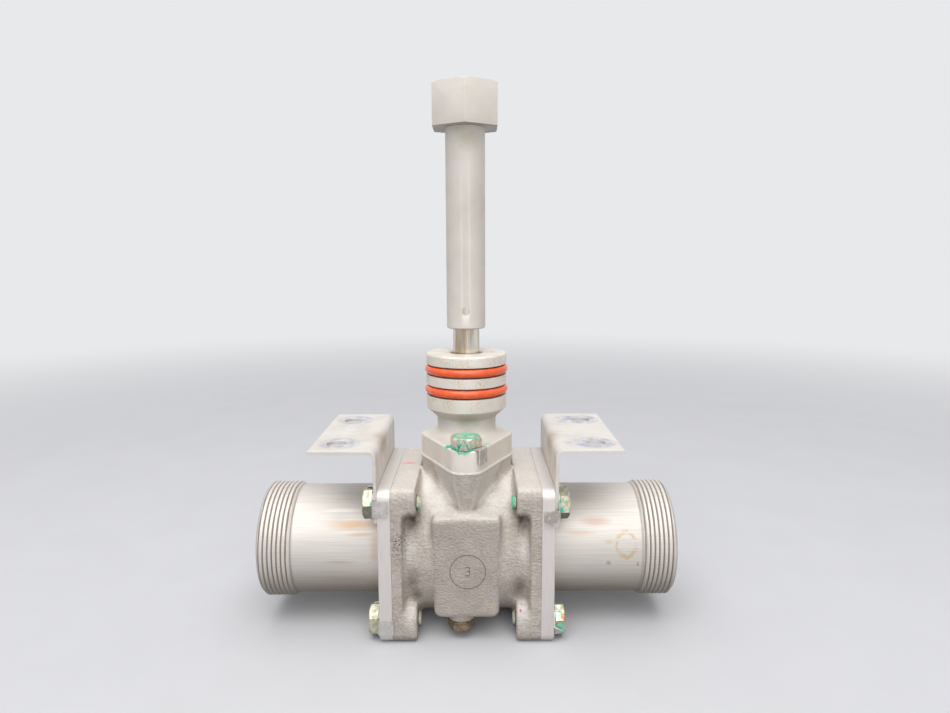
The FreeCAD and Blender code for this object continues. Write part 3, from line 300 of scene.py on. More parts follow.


# %% [markdown]
# Bolts that must not turn get a dab of mint-green sealing paint across the head and the metal
# beside it. A turned bolt cracks the dab, which shows at a glance. Each dab is a spot with a
# place, a radius and a tint, and there is one list for the bolts, one for the bonnet at a bolt's
# foot, and one for the lock washers. One grey dab on a washer's tab is painted shade, not paint.

# %% Dabs of sealing paint
TEAL = screen_colour(26, 190, 150)
MINT = screen_colour(128, 222, 190)
PALE_MINT = screen_colour(176, 214, 192)
CREAM = screen_colour(232, 230, 206)
ORANGE_GREASE = screen_colour(206, 140, 96)
TAB_SHADE = screen_colour(172, 165, 158)
UPPER_HEAD = BRACKET_FACE + WASHER_THICKNESS
LOWER_HEAD = ADAPTER_FACE + WASHER_THICKNESS
BONNET_LEVEL = BONNET_TOP - AXIS_HEIGHT
HEAD_DABS = [
    (on_valve(0.0, -BONNET_BOLT - 0.2, BONNET_LEVEL + 5.4), 5.6, MINT),
    (on_valve(-1.0, -BONNET_BOLT - 5.6, BONNET_LEVEL + 1.2), 2.4, TEAL),
    (on_valve(-2.2, -BONNET_BOLT + 0.6, BONNET_LEVEL + 4.7), 1.7, CREAM),
    (on_valve(1.9, -BONNET_BOLT - 0.6, BONNET_LEVEL + 4.7), 1.7, CREAM),
    (on_valve(UPPER_HEAD, -BOLT_OFFSET - 5.6, BOLT_OFFSET - 1.0), 1.5, TEAL),
    (on_valve(LOWER_HEAD + 2.0, -BOLT_OFFSET - 3.5, -BOLT_OFFSET - 1.0), 3.4, MINT),
    (on_valve(LOWER_HEAD + 1.0, -BOLT_OFFSET - 4.5, -BOLT_OFFSET + 3.6), 1.8, PALE_MINT),
    (on_valve(LOWER_HEAD + 3.6, -BOLT_OFFSET - 4.5, -BOLT_OFFSET + 2.6), 1.5, ORANGE_GREASE),
    (on_valve(-UPPER_HEAD, -BOLT_OFFSET - 5.0, BOLT_OFFSET + 1.0), 1.4, TEAL),
    (on_valve(17.8, -BOLT_OFFSET, BOLT_OFFSET), 3.4, TEAL),
    (on_valve(18.3, -BOLT_OFFSET, -BOLT_OFFSET), 2.2, MINT),
    (on_valve(-17.9, -BOLT_OFFSET - 1.0, BOLT_OFFSET - 1.0), 2.0, MINT),
]
FOOT_DABS = [
    (on_valve(-1.0, -BONNET_BOLT - 4.0, BONNET_LEVEL + 1.8), 4.2, TEAL),
    (on_valve(4.8, -BONNET_BOLT - 2.4, BONNET_LEVEL + 1.6), 3.4, TEAL),
    (on_valve(-6.0, -BONNET_BOLT + 0.6, BONNET_LEVEL + 0.8), 2.6, TEAL),
    (on_valve(8.2, -BONNET_BOLT + 4.2, BONNET_LEVEL), 1.8, PALE_MINT),
]
WASHER_DABS = [
    (on_valve(-3.6, -BONNET_BOLT - 3.6, BONNET_LEVEL - 1.2), 3.2, TEAL),
    (on_valve(1.6, -BONNET_BOLT - 5.0, BONNET_LEVEL - 1.2), 2.6, TEAL),
    (on_valve(4.8, -BONNET_BOLT + 0.2, BONNET_LEVEL - 1.2), 3.0, TEAL),
    # This grey dab on the tab is painted shade.
    (on_valve(BODY_END + 3.4, -FLANGE_HALF - 0.7, BOLT_OFFSET - 2.6), 3.6, TAB_SHADE),
    (on_valve(UPPER_HEAD - 0.3, -BOLT_OFFSET - 5.0, BOLT_OFFSET + 0.5), 2.6, TEAL),
    (on_valve(UPPER_HEAD - 1.0, -FLANGE_HALF - 0.7, BOLT_OFFSET + 1.8), 1.0, TEAL),
    (on_valve(UPPER_HEAD - 3.4, -FLANGE_HALF - 0.7, BOLT_OFFSET + 0.4), 0.8, PALE_MINT),
    (on_valve(LOWER_HEAD - 0.3, -BOLT_OFFSET - 4.0, -BOLT_OFFSET), 2.8, CREAM),
    (on_valve(-UPPER_HEAD + 0.3, -BOLT_OFFSET - 5.0, BOLT_OFFSET + 0.5), 1.8, TEAL),
]


def add_paint(finish, colour, dabs):
    """The colour with dabs over it, sealing paint and one of painted shade, and the mask of the
    dabs.
    """
    covered = None
    for point, radius, tint in dabs:
        mask = finish.spot(point, radius)
        colour = finish.blend(mask, colour, tint)
        covered = mask if covered is None else finish.math("MAXIMUM", covered, mask)
    thin = finish.between(finish.grain(1.2), 0.5, 0.68)
    colour = finish.stain(colour, finish.both(thin, covered), 0.45, CREAM)
    return colour, covered


print(len(HEAD_DABS) + len(FOOT_DABS) + len(WASHER_DABS), "dabs of paint")

# %% [markdown]
# The casting came out of a sand mould, so it is matt and grainy, with small wrinkles that run
# level where the metal set. Its inner corners are darkened by dirt and painted shade. Its flanks,
# upward faces, the column's sides and the pad's rim carry painted highlights, and the slab's face
# is darkened as painted shade. The grain and the wrinkles are bumps, the darkening follows the
# hollows, and the darkest and brightest places are spots from one list.

# %% Cast aluminium
CAST = screen_colour(194, 185, 176)
CAST_DARK = screen_colour(184, 174, 164)
CAST_PALE = screen_colour(216, 208, 200)
DIRT_AND_SHADE = screen_colour(112, 92, 74)
SOOT_AND_SHADE = screen_colour(70, 52, 38)
CAST_SHADE = screen_colour(152, 143, 134)
PINK = screen_colour(238, 120, 124)
MAGENTA = screen_colour(206, 60, 104)
HIGHLIGHT_AND_SCRATCH = screen_colour(242, 238, 232)
LEMON = screen_colour(222, 206, 70)


# Pale spots are painted highlights; the upper dark ones are painted shade under the bosses.
CAST_SPOTS = [
    (-16.0, -12.0, 27.5, 6.0, (1.2, 0.25, 0.60), HIGHLIGHT_AND_SCRATCH, 0.65),
    (16.4, -12.0, 27.5, 6.0, (1.2, 0.25, 0.60), HIGHLIGHT_AND_SCRATCH, 0.65),
    (-11.0, -20.0, 23.0, 5.0, (0.6, 0.25, 1.0), HIGHLIGHT_AND_SCRATCH, 0.60),
    (11.0, -20.0, 23.0, 5.0, (0.6, 0.25, 1.0), HIGHLIGHT_AND_SCRATCH, 0.60),
    (-22.0, -28.0, 7.0, 5.0, (1.2, 0.25, 0.70), HIGHLIGHT_AND_SCRATCH, 0.45),
    (22.6, -28.0, 7.0, 5.0, (1.2, 0.25, 0.70), HIGHLIGHT_AND_SCRATCH, 0.45),
    (-22.2, -30.0, -21.5, 5.0, (1.0, 0.25, 0.80), HIGHLIGHT_AND_SCRATCH, 0.50),
    (22.0, -30.0, -21.5, 5.0, (1.0, 0.25, 0.80), HIGHLIGHT_AND_SCRATCH, 0.50),
    (-21.0, -27.5, 17.8, 5.4, (1.1, 0.20, 0.66), SOOT_AND_SHADE, 1.00),
    (21.5, -27.5, 17.8, 5.4, (1.1, 0.20, 0.66), SOOT_AND_SHADE, 1.00),
    (-21.2, -27.5, -6.0, 5.4, (1.1, 0.25, 0.62), SOOT_AND_SHADE, 0.55),
    (20.8, -27.5, -9.0, 5.2, (1.1, 0.25, 0.62), SOOT_AND_SHADE, 0.70),
    (-19.8, -27.5, -14.0, 3.6, (1.0, 0.25, 0.62), SOOT_AND_SHADE, 0.70),
]


def add_cast_marks(finish, colour, column):
    """Painted highlights and shade in spots and on faces, soot, pits, a pink line and two dots."""
    flaw = finish.grain(1.6)
    for x, y, up, radius, flatten, tint, share in CAST_SPOTS:
        mask = finish.spot(on_valve(x, y, up), radius, flatten, soft=1.2, grain=flaw)
        colour = finish.stain(colour, mask, share, tint)
    # The slab's front face is darkened as painted shade.
    slab_face_shade = finish.patch(on_valve(-13.0, -34.0, -25.0), on_valve(13.0, -29.6, 19.0), 1.2)
    colour = finish.stain(colour, slab_face_shade, 0.28, CAST_SHADE)
    pits = finish.between(finish.grain(0.8, 3.0), 0.46, 0.60)
    pitted = finish.spot(on_valve(-26.0, -29.0, 10.0), 8.0, (1.2, 0.2, 0.6), soft=1.1, grain=flaw)
    colour = finish.stain(colour, finish.both(pits, pitted), 0.75, SOOT_AND_SHADE)
    # Painted highlights on the column's sides and on all upward faces.
    sideways = finish.between(finish.math("ABSOLUTE", finish.facing("X")), 0.25, 0.75)
    colour = finish.stain(colour, finish.both(column, sideways), 0.45, HIGHLIGHT_AND_SCRATCH)
    colour = finish.stain(colour, finish.between(finish.facing("Z"), 0.6, 0.95), 0.40, HIGHLIGHT_AND_SCRATCH)
    # A painted highlight on the top millimetre of the pad, round its rim.
    pad_rim_highlight = finish.between(finish.axis("Z"), (PAD_TOP - 1.0) * MM, (PAD_TOP - 0.7) * MM)
    colour = finish.stain(colour, pad_rim_highlight, 0.8, HIGHLIGHT_AND_SCRATCH)
    line = finish.spot(on_valve(-25.4, 4.3, FLANGE_HALF), 0.9, (0.20, 1, 1), soft=0.5, grain=flaw)
    colour = finish.stain(colour, line, 0.95, PINK)
    for x, up, tint in ((21.2, -18.3, MAGENTA), (9.8, -15.9, LEMON)):
        dot = finish.spot(on_valve(x, -SLAB_FRONT, up), 0.5, (1, 0.15, 1), grain=flaw)
        colour = finish.stain(colour, dot, 0.9, tint)
    return colour


def make_cast_finish():
    """Grainy sand-cast metal, level wrinkles, dirt and painted shade in corners but the column's.
    """
    finish = Finish("cast_aluminium", Metallic=0.1)
    blotch = finish.between(finish.grain(9.0, 2.0), 0.35, 0.7)
    colour = finish.blend(blotch, CAST, CAST_DARK)
    wrinkles = finish.grain(0.75, 2.0, (1.7, 1.7, 1.0))
    colour = finish.stain(colour, finish.between(wrinkles, 0.50, 0.34), 0.16, DIRT_AND_SHADE)
    colour = finish.stain(colour, finish.between(wrinkles, 0.52, 0.66), 0.40, CAST_PALE)
    column = finish.patch(on_valve(-17, -30, 22.5), on_valve(17, -12, BONNET_LEVEL - 9.5))
    # Dirt and painted shade in the inner corners, but not on the column.
    deep = finish.both(finish.hollows(5.0), finish.between(finish.grain(5.0), 0.3, 0.75))
    deep = finish.both(deep, finish.math("SUBTRACT", 1.0, column))
    colour = finish.stain(colour, deep, 0.30, DIRT_AND_SHADE)
    colour = add_cast_marks(finish, colour, column)
    finish.bump(finish.grain(0.45, 2.0), 0.25)
    finish.bump(wrinkles, 0.42)
    finish.bump(finish.grain(7.0, 1.0), 0.5)
    rough = finish.math("MULTIPLY_ADD", blotch, 0.1, 0.60)
    return finish.finish(colour, rough)


cast_aluminium = make_cast_finish()

# %% [markdown]
# The bonnet and the stem's bar were turned on a lathe and left satin. Fine rings run round them,
# the colour is a warm pale grey, and sharp edges carry a painted highlight. Corners, the disc's
# underside and what faces down are darkened as painted shade, and so is the bar just under the
# hexagon, which is also stained brown. Drips have dried on the neck, yellow specks cling to the
# round disc, and the hexagon's top is dull.

# %% Machined aluminium
MACHINED = screen_colour(233, 226, 217)
MACHINED_DARK = screen_colour(221, 213, 203)
UNDERSIDE_SHADE = screen_colour(150, 143, 132)
SMUDGE_AND_SHADE = screen_colour(190, 178, 158)
COOL = screen_colour(186, 191, 190)
DRIED = screen_colour(160, 156, 130)
YELLOW = screen_colour(196, 168, 104)


def make_machined_finish():
    """Satin turned metal: fine rings, smudges, dried drips, painted shade, painted edge highlights.
    """
    finish = Finish("machined_aluminium", Metallic=0.25)
    cloud = finish.between(finish.grain(14.0, 2.0), 0.3, 0.75)
    colour = finish.blend(cloud, MACHINED, MACHINED_DARK)
    rings = finish.grain(0.35, 2.0, (60, 60, 1))
    colour = finish.stain(colour, rings, 0.12, MACHINED_DARK)
    smudge = finish.between(finish.grain(4.5), 0.62, 0.8)
    colour = finish.stain(colour, smudge, 0.16, SMUDGE_AND_SHADE)
    # Painted shade in the corners, and a painted highlight along sharp edges.
    colour = finish.stain(colour, finish.hollows(3.0), 0.4, SMUDGE_AND_SHADE)
    colour = finish.stain(colour, finish.edges(), 0.6, HIGHLIGHT_AND_SCRATCH)
    # Painted cool shade under the disc.
    under_disc_shade = finish.patch(on_valve(-14, -15, 51.0), on_valve(14, 15, 56.6), 2.0)
    colour = finish.stain(colour, under_disc_shade, 0.55, COOL)
    drip = finish.spot(on_valve(0.4, -12.2, 55.0), 6.0, (0.75, 0.8, 1.25), soft=1.0)
    colour = finish.stain(colour, drip, 0.65, DRIED)
    specks = finish.between(finish.grain(0.7, 3.0), 0.50, 0.62)
    on_disc = finish.patch(on_valve(-18, -18, 57.0), on_valve(18, 18, 81.5), 0.5)
    in_places = finish.between(finish.grain(7.0), 0.42, 0.62)
    specks = finish.both(finish.both(specks, on_disc), in_places)
    colour = finish.stain(colour, specks, 0.50, YELLOW)
    # Painted shade on what faces down.
    underside = finish.between(finish.facing("Z"), -0.3, -0.9)
    colour = finish.stain(colour, underside, 0.6, UNDERSIDE_SHADE)
    # Painted shade, with a brown stain, just under the hexagon.
    under_head_shade = finish.spot(on_valve(0.8, -8, 165.5), 5.6, (0.8, 0.5, 0.9), soft=1.0)
    colour = finish.stain(colour, under_head_shade, 0.55, SMUDGE_AND_SHADE)
    head_top = finish.patch(on_valve(-20, -20, 184.6), on_valve(20, 20, 190.0), 0.8)
    colour = finish.stain(colour, finish.both(head_top, finish.facing("Z")), 0.70, CAST)
    colour = add_paint(finish, colour, FOOT_DABS)[0]
    finish.bump(rings, 0.008)
    finish.bump(finish.grain(0.5, 2.0), 0.010)
    rough = finish.math("MULTIPLY_ADD", cloud, 0.10, 0.42)
    return finish.finish(colour, rough)


machined_aluminium = make_machined_finish()

# %% [markdown]
# The tubes were drawn, so their fine lines run along the pipe, and the thread's valleys hold
# brown dirt. Heat and water have left brown and yellow marks on both tubes, each placed where the
# real one has it. One pale streak on top of the left tube is a painted highlight, and the
# underside and the corners are darkened as painted shade.

# %% Tube aluminium
TUBE = screen_colour(216, 210, 204)
TUBE_DARK = screen_colour(200, 193, 186)
RUST = screen_colour(200, 160, 124)
BLUSH = screen_colour(192, 160, 144)
ORANGE_DOT = screen_colour(204, 140, 84)
BROWN = screen_colour(168, 130, 84)
VALLEY = screen_colour(140, 128, 114)
SHADED = screen_colour(142, 130, 116)
WATER_BROWN = screen_colour(178, 156, 136)
FLANGE_EDGE = screen_colour(220, 215, 211)
FLANGE_LINES = screen_colour(211, 205, 201)


TUBE_MARKS = [
    (on_valve(-46, -18.5, 12.8), 2.8, (0.18, 0.6, 1), RUST, 0.75),
    (on_valve(-51, -22.4, -1.2), 0.9, (0.10, 0.6, 1), WATER_BROWN, 0.5),
    (on_valve(-43, -20.5, 9.6), 1.0, (0.13, 0.5, 1), RUST, 0.6),
    (on_valve(-37, -21.0, 4.0), 4.6, (1.6, 0.5, 0.5), RUST, 0.38),
    (on_valve(-39, -22.3, -1.5), 0.7, (1, 1, 1), ORANGE_DOT, 0.8),
    (on_valve(-42.5, -22.0, -6.0), 0.6, (1, 1, 1), ORANGE_DOT, 0.6),
    (on_valve(-49, -20.6, -9.0), 3.0, (0.2, 0.6, 1), BLUSH, 0.35),
    (on_valve(-52, -18.0, -14.0), 2.6, (0.14, 0.6, 1), WATER_BROWN, 0.40),
    # A painted highlight streak on top of the left tube.
    (on_valve(-50, -15.0, 17.6), 1.2, (0.10, 0.6, 1), HIGHLIGHT_AND_SCRATCH, 0.6),
    (on_valve(54, -17.0, -15.0), 2.6, (0.14, 0.6, 1), WATER_BROWN, 0.35),
    (on_valve(52, -17.6, 13.6), 2.7, (0.30, 0.6, 1), BLUSH, 0.65),
    (on_valve(45, -20.0, 9.8), 1.4, (0.15, 0.5, 1), RUST, 0.4),
    (on_valve(57, -21.6, 6.4), 1.2, (0.5, 0.6, 1), YELLOW, 0.45),
    (on_valve(57.0, -22.6, -2.0), 1.2, (0.8, 1, 0.8), BROWN, 0.6),
    (on_valve(68.8, -22.6, -2.5), 1.0, (1.6, 1, 0.6), BROWN, 0.8),
    (on_valve(-52, -16.5, 15.5), 2.6, (0.4, 0.6, 1), COOL, 0.35),
]


def add_tube_marks(finish, colour):
    """Heat and water marks, a painted highlight, and the yellow ring that a drop has dried to."""
    smear = finish.grain(1.8, 3.0, (9, 1, 1))
    for point, radius, flatten, tint, share in TUBE_MARKS:
        mask = finish.spot(point, radius, flatten, soft=0.9, grain=smear)
        colour = finish.stain(colour, mask, share, tint)
    drop = finish.away_from(on_valve(64, -22.0, 5.5), (1, 0.5, 0.8))
    wobble = finish.math("MULTIPLY_ADD", finish.grain(2.5), 3.0 * MM, drop)
    inner = finish.between(wobble, 4.4 * MM, 5.2 * MM)
    outer = finish.between(wobble, 6.4 * MM, 5.5 * MM)
    ring = finish.both(finish.both(inner, outer), finish.between(smear, 0.35, 0.6))
    return finish.stain(colour, ring, 0.6, YELLOW)


def make_tube_finish():
    """Drawn metal: lines along the pipe, dirty thread, painted shade below, milled flange edges."""
    finish = Finish("tube_aluminium", Metallic=0.4)
    streaks = finish.grain(0.24, 2.0, (90, 1, 1))
    broad = finish.grain(2.6, 2.0, (16, 1, 1))
    colour = finish.blend(finish.between(streaks, 0.35, 0.8), TUBE, TUBE_DARK)
    colour = finish.stain(colour, finish.between(broad, 0.5, 0.8), 0.35, TUBE_DARK)
    colour = add_tube_marks(finish, colour)
    radius = finish.away_from(on_valve(0, 0, 0), (0, 1, 1))
    along = finish.math("ABSOLUTE", finish.axis("X"))
    thread_end = TUBE_END - THREAD_LENGTH
    threaded = finish.between(along, (thread_end - 1) * MM, thread_end * MM)
    valley = finish.between(radius, (THREAD_RADIUS - 0.55) * MM, (TUBE_RADIUS + 0.1) * MM)
    outside = finish.between(radius, (TUBE_RADIUS - 1.5) * MM, (TUBE_RADIUS - 0.5) * MM)
    grime = finish.both(finish.both(threaded, valley), outside)
    colour = finish.stain(colour, grime, 0.5, VALLEY)
    # Painted shade on the underside.
    under = finish.both(finish.between(finish.facing("Z"), 0.0, -0.8), outside)
    colour = finish.stain(colour, under, 0.8, SHADED)
    # Painted shade in the corners by the flange.
    colour = finish.stain(colour, finish.hollows(4.0), 0.3, SMUDGE_AND_SHADE)
    on_edge = finish.between(radius, (FLANGE_HALF - 3.0) * MM, (FLANGE_HALF - 2.5) * MM)
    milled = finish.grain(0.35, 2.0, (1, 1, 24))
    edge_colour = finish.blend(finish.between(milled, 0.35, 0.75), FLANGE_EDGE, FLANGE_LINES)
    colour = finish.blend(on_edge, colour, edge_colour)
    finish.bump(streaks, 0.003)
    rough = finish.math("MULTIPLY_ADD", streaks, 0.14, 0.46)
    return finish.finish(colour, rough)


tube_aluminium = make_tube_finish()

# %% [markdown]
# The brackets are bent sheet. Washers have been clamped round their holes and left blue-grey
# rings, grime sits along the bends, and a painted highlight runs along the edges. The rings are
# found from the distance to each hole's centre.

# %% Sheet aluminium
SHEET_PALE = screen_colour(224, 219, 212)
SHEET_DARK = screen_colour(214, 207, 198)
WITNESS = screen_colour(160, 165, 188)
FOLD_BROWN = screen_colour(172, 152, 122)
HOLE_X = 51.3
HOLE_Y = 19.05
WASHER_MARKS = [(-HOLE_X + 1.0, 8.6, 0.8), (HOLE_X, 8.4, 0.9), (HOLE_X - 5.5, 7.6, 0.55)]


def add_washer_marks(finish, colour):
    """Blue-grey rings on top of the brackets, given as (place along X, radius, strength)."""
    on_top = finish.between(finish.facing("Z"), 0.5, 0.9)
    patchy = finish.between(finish.grain(3.4, 2.0), 0.30, 0.70)
    for x, reach, share in WASHER_MARKS:
        for y in (-HOLE_Y, HOLE_Y):
            distance = finish.away_from(Vector((x, y, 0)) * MM, (1, 1, 0))
            wide = finish.between(distance, reach * MM, (reach - 2.2) * MM)
            outer = finish.between(distance, reach * MM, (reach - 0.5) * MM)
            inner = finish.between(distance, (reach - 1.4) * MM, (reach - 0.7) * MM)
            rim = finish.both(finish.both(outer, inner), 0.35)
            worn = finish.math("MAXIMUM", finish.both(wide, patchy), rim)
            colour = finish.stain(colour, finish.both(worn, on_top), share, WITNESS)
    return colour


def make_sheet_finish():
    """Bent sheet with fine scratches, washer marks, grime along the bends and painted edge
    highlights.
    """
    finish = Finish("sheet_aluminium", Metallic=0.25)
    cloud = finish.between(finish.grain(12.0), 0.35, 0.7)
    colour = finish.blend(cloud, SHEET_PALE, SHEET_DARK)
    scratches = finish.between(finish.grain(0.4, 2.0, (1, 40, 1)), 0.66, 0.76)
    colour = finish.stain(colour, scratches, 0.3, HIGHLIGHT_AND_SCRATCH)
    colour = add_washer_marks(finish, colour)
    for side_x in (-1, 1):
        low = on_valve(min(side_x * 33, side_x * 38.5), -31, 33)
        high = on_valve(max(side_x * 33, side_x * 38.5), 31, 45.5)
        patchy = finish.between(finish.grain(5.0), 0.45, 0.7)
        grime = finish.both(finish.patch(low, high, 2.5), patchy)
        colour = finish.stain(colour, grime, 0.45, SMUDGE_AND_SHADE)
        fold = finish.spot(on_valve(side_x * 35.5, -6.0, 44.0), 5.0, (1, 0.35, 0.7), soft=1.0)
        colour = finish.stain(colour, fold, 0.7, FOLD_BROWN)
    # A painted highlight along the edges.
    colour = finish.stain(colour, finish.edges(0.25), 0.7, HIGHLIGHT_AND_SCRATCH)
    finish.bump(finish.grain(0.6, 2.0), 0.008)
    rough = finish.math("MULTIPLY_ADD", cloud, 0.12, 0.40)
    return finish.finish(colour, rough)


sheet_aluminium = make_sheet_finish()

# %% [markdown]
# Rubber, steel, plating, plastic and bronze are simpler: a base colour with two scales of
# variation, a matching roughness, and a slight bump. One function makes them all, and the bolts
# add their paint. Some also get dirt and painted shade in the corners, painted shade on what
# faces down, and a painted highlight along the edges.


# %% The plainer finishes
def make_plain_finish(name, colours, roughness, size=2.0, bump=0.01, dirt=0.0, dabs=(), edge_highlight=0.0,
                      under=None, stretch=(1, 1, 1), **sockets):
    """Two colours in clouds, dirt and painted shade in corners and below, painted edge highlights,
    dabs.
    """
    finish = Finish(name, **sockets)
    first, second = (screen_colour(*colour) for colour in colours)
    cloud = finish.between(finish.grain(size, stretch=stretch), 0.32, 0.68)
    colour = finish.blend(cloud, first, second)
    # Painted shade on what faces down.
    if under:
        below = finish.between(finish.facing("Z"), 0.05, -0.55)
        colour = finish.stain(colour, below, 0.85, screen_colour(*under))
    # Dirt and painted shade in the corners.
    if dirt:
        colour = finish.stain(colour, finish.hollows(1.5), dirt, DIRT_AND_SHADE)
    # A painted highlight along sharp edges.
    if edge_highlight:
        colour = finish.stain(colour, finish.edges(0.2), edge_highlight, HIGHLIGHT_AND_SCRATCH)
    if dabs:
        colour, mask = add_paint(finish, colour, dabs)
        finish.bump(mask, 0.12)
    finish.bump(finish.grain(size * 0.25), bump)
    rough = finish.math("MULTIPLY_ADD", cloud, roughness[1] - roughness[0], roughness[0])
    return finish.finish(colour, rough)


orange_rubber = make_plain_finish(
    "orange_rubber", ((250, 106, 52), (238, 90, 40)), (0.18, 0.28), 3.0, 0.004, dirt=0.2,
    Coat_Weight=0.2, Coat_Roughness=0.12)
black_rubber = make_plain_finish("black_rubber", ((34, 33, 32), (46, 44, 42)), (0.45, 0.6))
polished_steel = make_plain_finish(
    "polished_steel", ((228, 224, 216), (176, 160, 136)), (0.12, 0.24), 2.2, 0.0, dirt=0.5,
    stretch=(1, 1, 14), Metallic=0.9)
plated_steel = make_plain_finish(
    "plated_steel", ((216, 213, 196), (170, 170, 138)), (0.28, 0.42), 1.6, 0.01,
    dirt=0.6, dabs=HEAD_DABS, edge_highlight=0.6, under=(62, 68, 48), Metallic=0.45)
# The drain plug's dark brown stands in as painted shade under the slab.
brown_shaded_steel = make_plain_finish(
    "brown_shaded_steel", ((150, 128, 104), (104, 88, 70)), (0.35, 0.5), 1.6, 0.02,
    dirt=0.5, edge_highlight=0.3, Metallic=0.4)
washer_steel = make_plain_finish(
    "washer_steel", ((208, 204, 199), (182, 176, 170)), (0.3, 0.42), 2.4, 0.005,
    dirt=0.4, dabs=WASHER_DABS, edge_highlight=0.8, Metallic=0.5)
ball_steel = make_plain_finish(
    "ball_steel", ((202, 202, 200), (184, 184, 182)), (0.08, 0.16), 4.0, 0.002, Metallic=1.0)
seat_plastic = make_plain_finish(
    "seat_plastic", ((232, 230, 222), (218, 215, 204)), (0.4, 0.5), 3.0)
bearing_bronze = make_plain_finish(
    "bearing_bronze", ((176, 134, 84), (150, 108, 62)), (0.3, 0.45), 1.5, 0.01, Metallic=0.85)

# %% [markdown]
# Each solid that keeps its own shape takes the finish that the record names for it. Only the
# drain plug, down under the slab, has a darker and browner one than its kind, as painted shade.

# %% Give every solid its finish
FINISHES = {
    "cast_aluminium": cast_aluminium,
    "machined_aluminium": machined_aluminium,
    "tube_aluminium": tube_aluminium,
    "sheet_aluminium": sheet_aluminium,
    "orange_rubber": orange_rubber,
    "black_rubber": black_rubber,
    "polished_steel": polished_steel,
    "plated_steel": plated_steel,
    "washer_steel": washer_steel,
    "ball_steel": ball_steel,
    "seat_plastic": seat_plastic,
    "bearing_bronze": bearing_bronze,
}


def dress(obj, finish):
    """Put one finish on the whole of a piece."""
    obj.data.materials.clear()
    obj.data.materials.append(finish)


slot_of = {part["node"]: part["material_slot"] for part in frame["record"]["subparts"]}
for name, node in nodes.items():
    dress(node, brown_shaded_steel if name.startswith("drain_plug") else FINISHES[slot_of[name]])
print(len(nodes), "solids dressed")


# %% [markdown]
# Some helpers for meshes. Most pieces start as rows of points joined by four-sided faces. A
# turned piece has one row for each point of its outline, which is given as distance along the
# pipe and radius, carried round the pipe's axis.


# %% Helpers for rows of points
def join_rows(mesh, rows, closed_rows, closed_columns):
    """Four-sided faces between rows of points. A closed side goes on from its last to its first."""
    row_count = len(rows) if closed_rows else len(rows) - 1
    column_count = len(rows[0]) if closed_columns else len(rows[0]) - 1
    for index in range(row_count):
        near, far = rows[index], rows[(index + 1) % len(rows)]
        for step in range(column_count):
            after = (step + 1) % len(near)
            mesh.faces.new((near[step], near[after], far[after], far[step]))


def turn_about_pipe(outline):
    """A mesh turned about the pipe's axis from points in millimetres."""
    mesh = bmesh.new()
    rings = []
    for x, radius in outline:
        ring = []
        for step in range(ROUND_STEPS):
            angle = 2 * math.pi * step / ROUND_STEPS
            point = on_valve(x, radius * math.sin(angle), radius * math.cos(angle))
            ring.append(mesh.verts.new(point))
        rings.append(ring)
    join_rows(mesh, rings, False, True)
    return mesh


def arc_points(middle_x, middle_radius, size, first, last, count):
    """Points on an arc of an outline, with angles in degrees."""
    points = []
    for index in range(count):
        angle = math.radians(first + (last - first) * index / (count - 1))
        points.append((middle_x + size * math.cos(angle), middle_radius + size * math.sin(angle)))
    return points


# %% [markdown]
# A modifier works on an object, and its result is taken as a plain mesh, so that nothing live is
# left on a piece. A finished piece is linked to the scene, given its finish, and rides on one body
# of the frame.


# %% Helpers for finished pieces
def to_data(mesh, name):
    """The edited mesh as mesh data that an object can carry."""
    data = bpy.data.meshes.new(name)
    mesh.to_mesh(data)
    mesh.free()
    return data


def set_tree_inputs(modifier, values):
    """Set a modifier's inputs by the identifiers of their sockets."""
    for item in modifier.node_group.interface.items_tree:
        if item.item_type == "SOCKET" and item.in_out == "INPUT" and item.name in values:
            modifier[item.identifier] = values[item.name]


def worked(name, data, kind=None, values=None, **settings):
    """The plain mesh made of mesh, curve or text data, with a modifier of this kind, if any."""
    holder = in_scene(name + "_holder", data)
    if kind:
        modifier = holder.modifiers.new(name, kind)
        for setting, value in settings.items():
            setattr(modifier, setting, value)
        if values:
            set_tree_inputs(modifier, values)
    graph = bpy.context.evaluated_depsgraph_get()
    mesh = bpy.data.meshes.new_from_object(holder.evaluated_get(graph))
    mesh.name = name
    bpy.data.objects.remove(holder)
    return mesh


def add_piece(name, mesh, finish, smooth_angle=30.0):
    """A new object from a mesh, with its finish."""
    data = to_data(mesh, name) if isinstance(mesh, bmesh.types.BMesh) else mesh
    data.name = name
    obj = in_scene(name, data)
    dress(obj, finish)
    data.shade_smooth()
    data.set_sharp_from_angle(angle=math.radians(smooth_angle))
    return obj


def settle(obj, body, *replaced):
    """The piece rides on a body, and stands for the solids it replaces."""
    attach(obj, body)
    if replaced:
        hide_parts(*replaced)
    print(obj.name, len(obj.data.polygons), "faces")
    return obj


# %% [markdown]
# A screw thread is one groove that winds round the tube. Geometry Nodes suit it, because each
# point's height follows from a rule: how far along the pitch it lies, less the share of a turn it
# has gone round. A flat grid is rolled into a sleeve, and the rule lifts its points between the
# root and the crest. It fades out at the tube and slopes down at the end, where both rims come
# back to the root so that the sleeve joins the tube without a gap.


# %% Helpers for geometry trees
def new_tree(name, sockets):
    """A geometry tree with named inputs, given as (name, kind, value)."""
    tree = bpy.data.node_groups.new(name, "GeometryNodeTree")
    tree.interface.new_socket("Geometry", in_out="INPUT", socket_type="NodeSocketGeometry")
    for label, kind, value in sockets:
        socket = tree.interface.new_socket(label, in_out="INPUT", socket_type="NodeSocket" + kind)
        if value is not None:
            socket.default_value = value
    tree.interface.new_socket("Geometry", in_out="OUTPUT", socket_type="NodeSocketGeometry")
    return tree


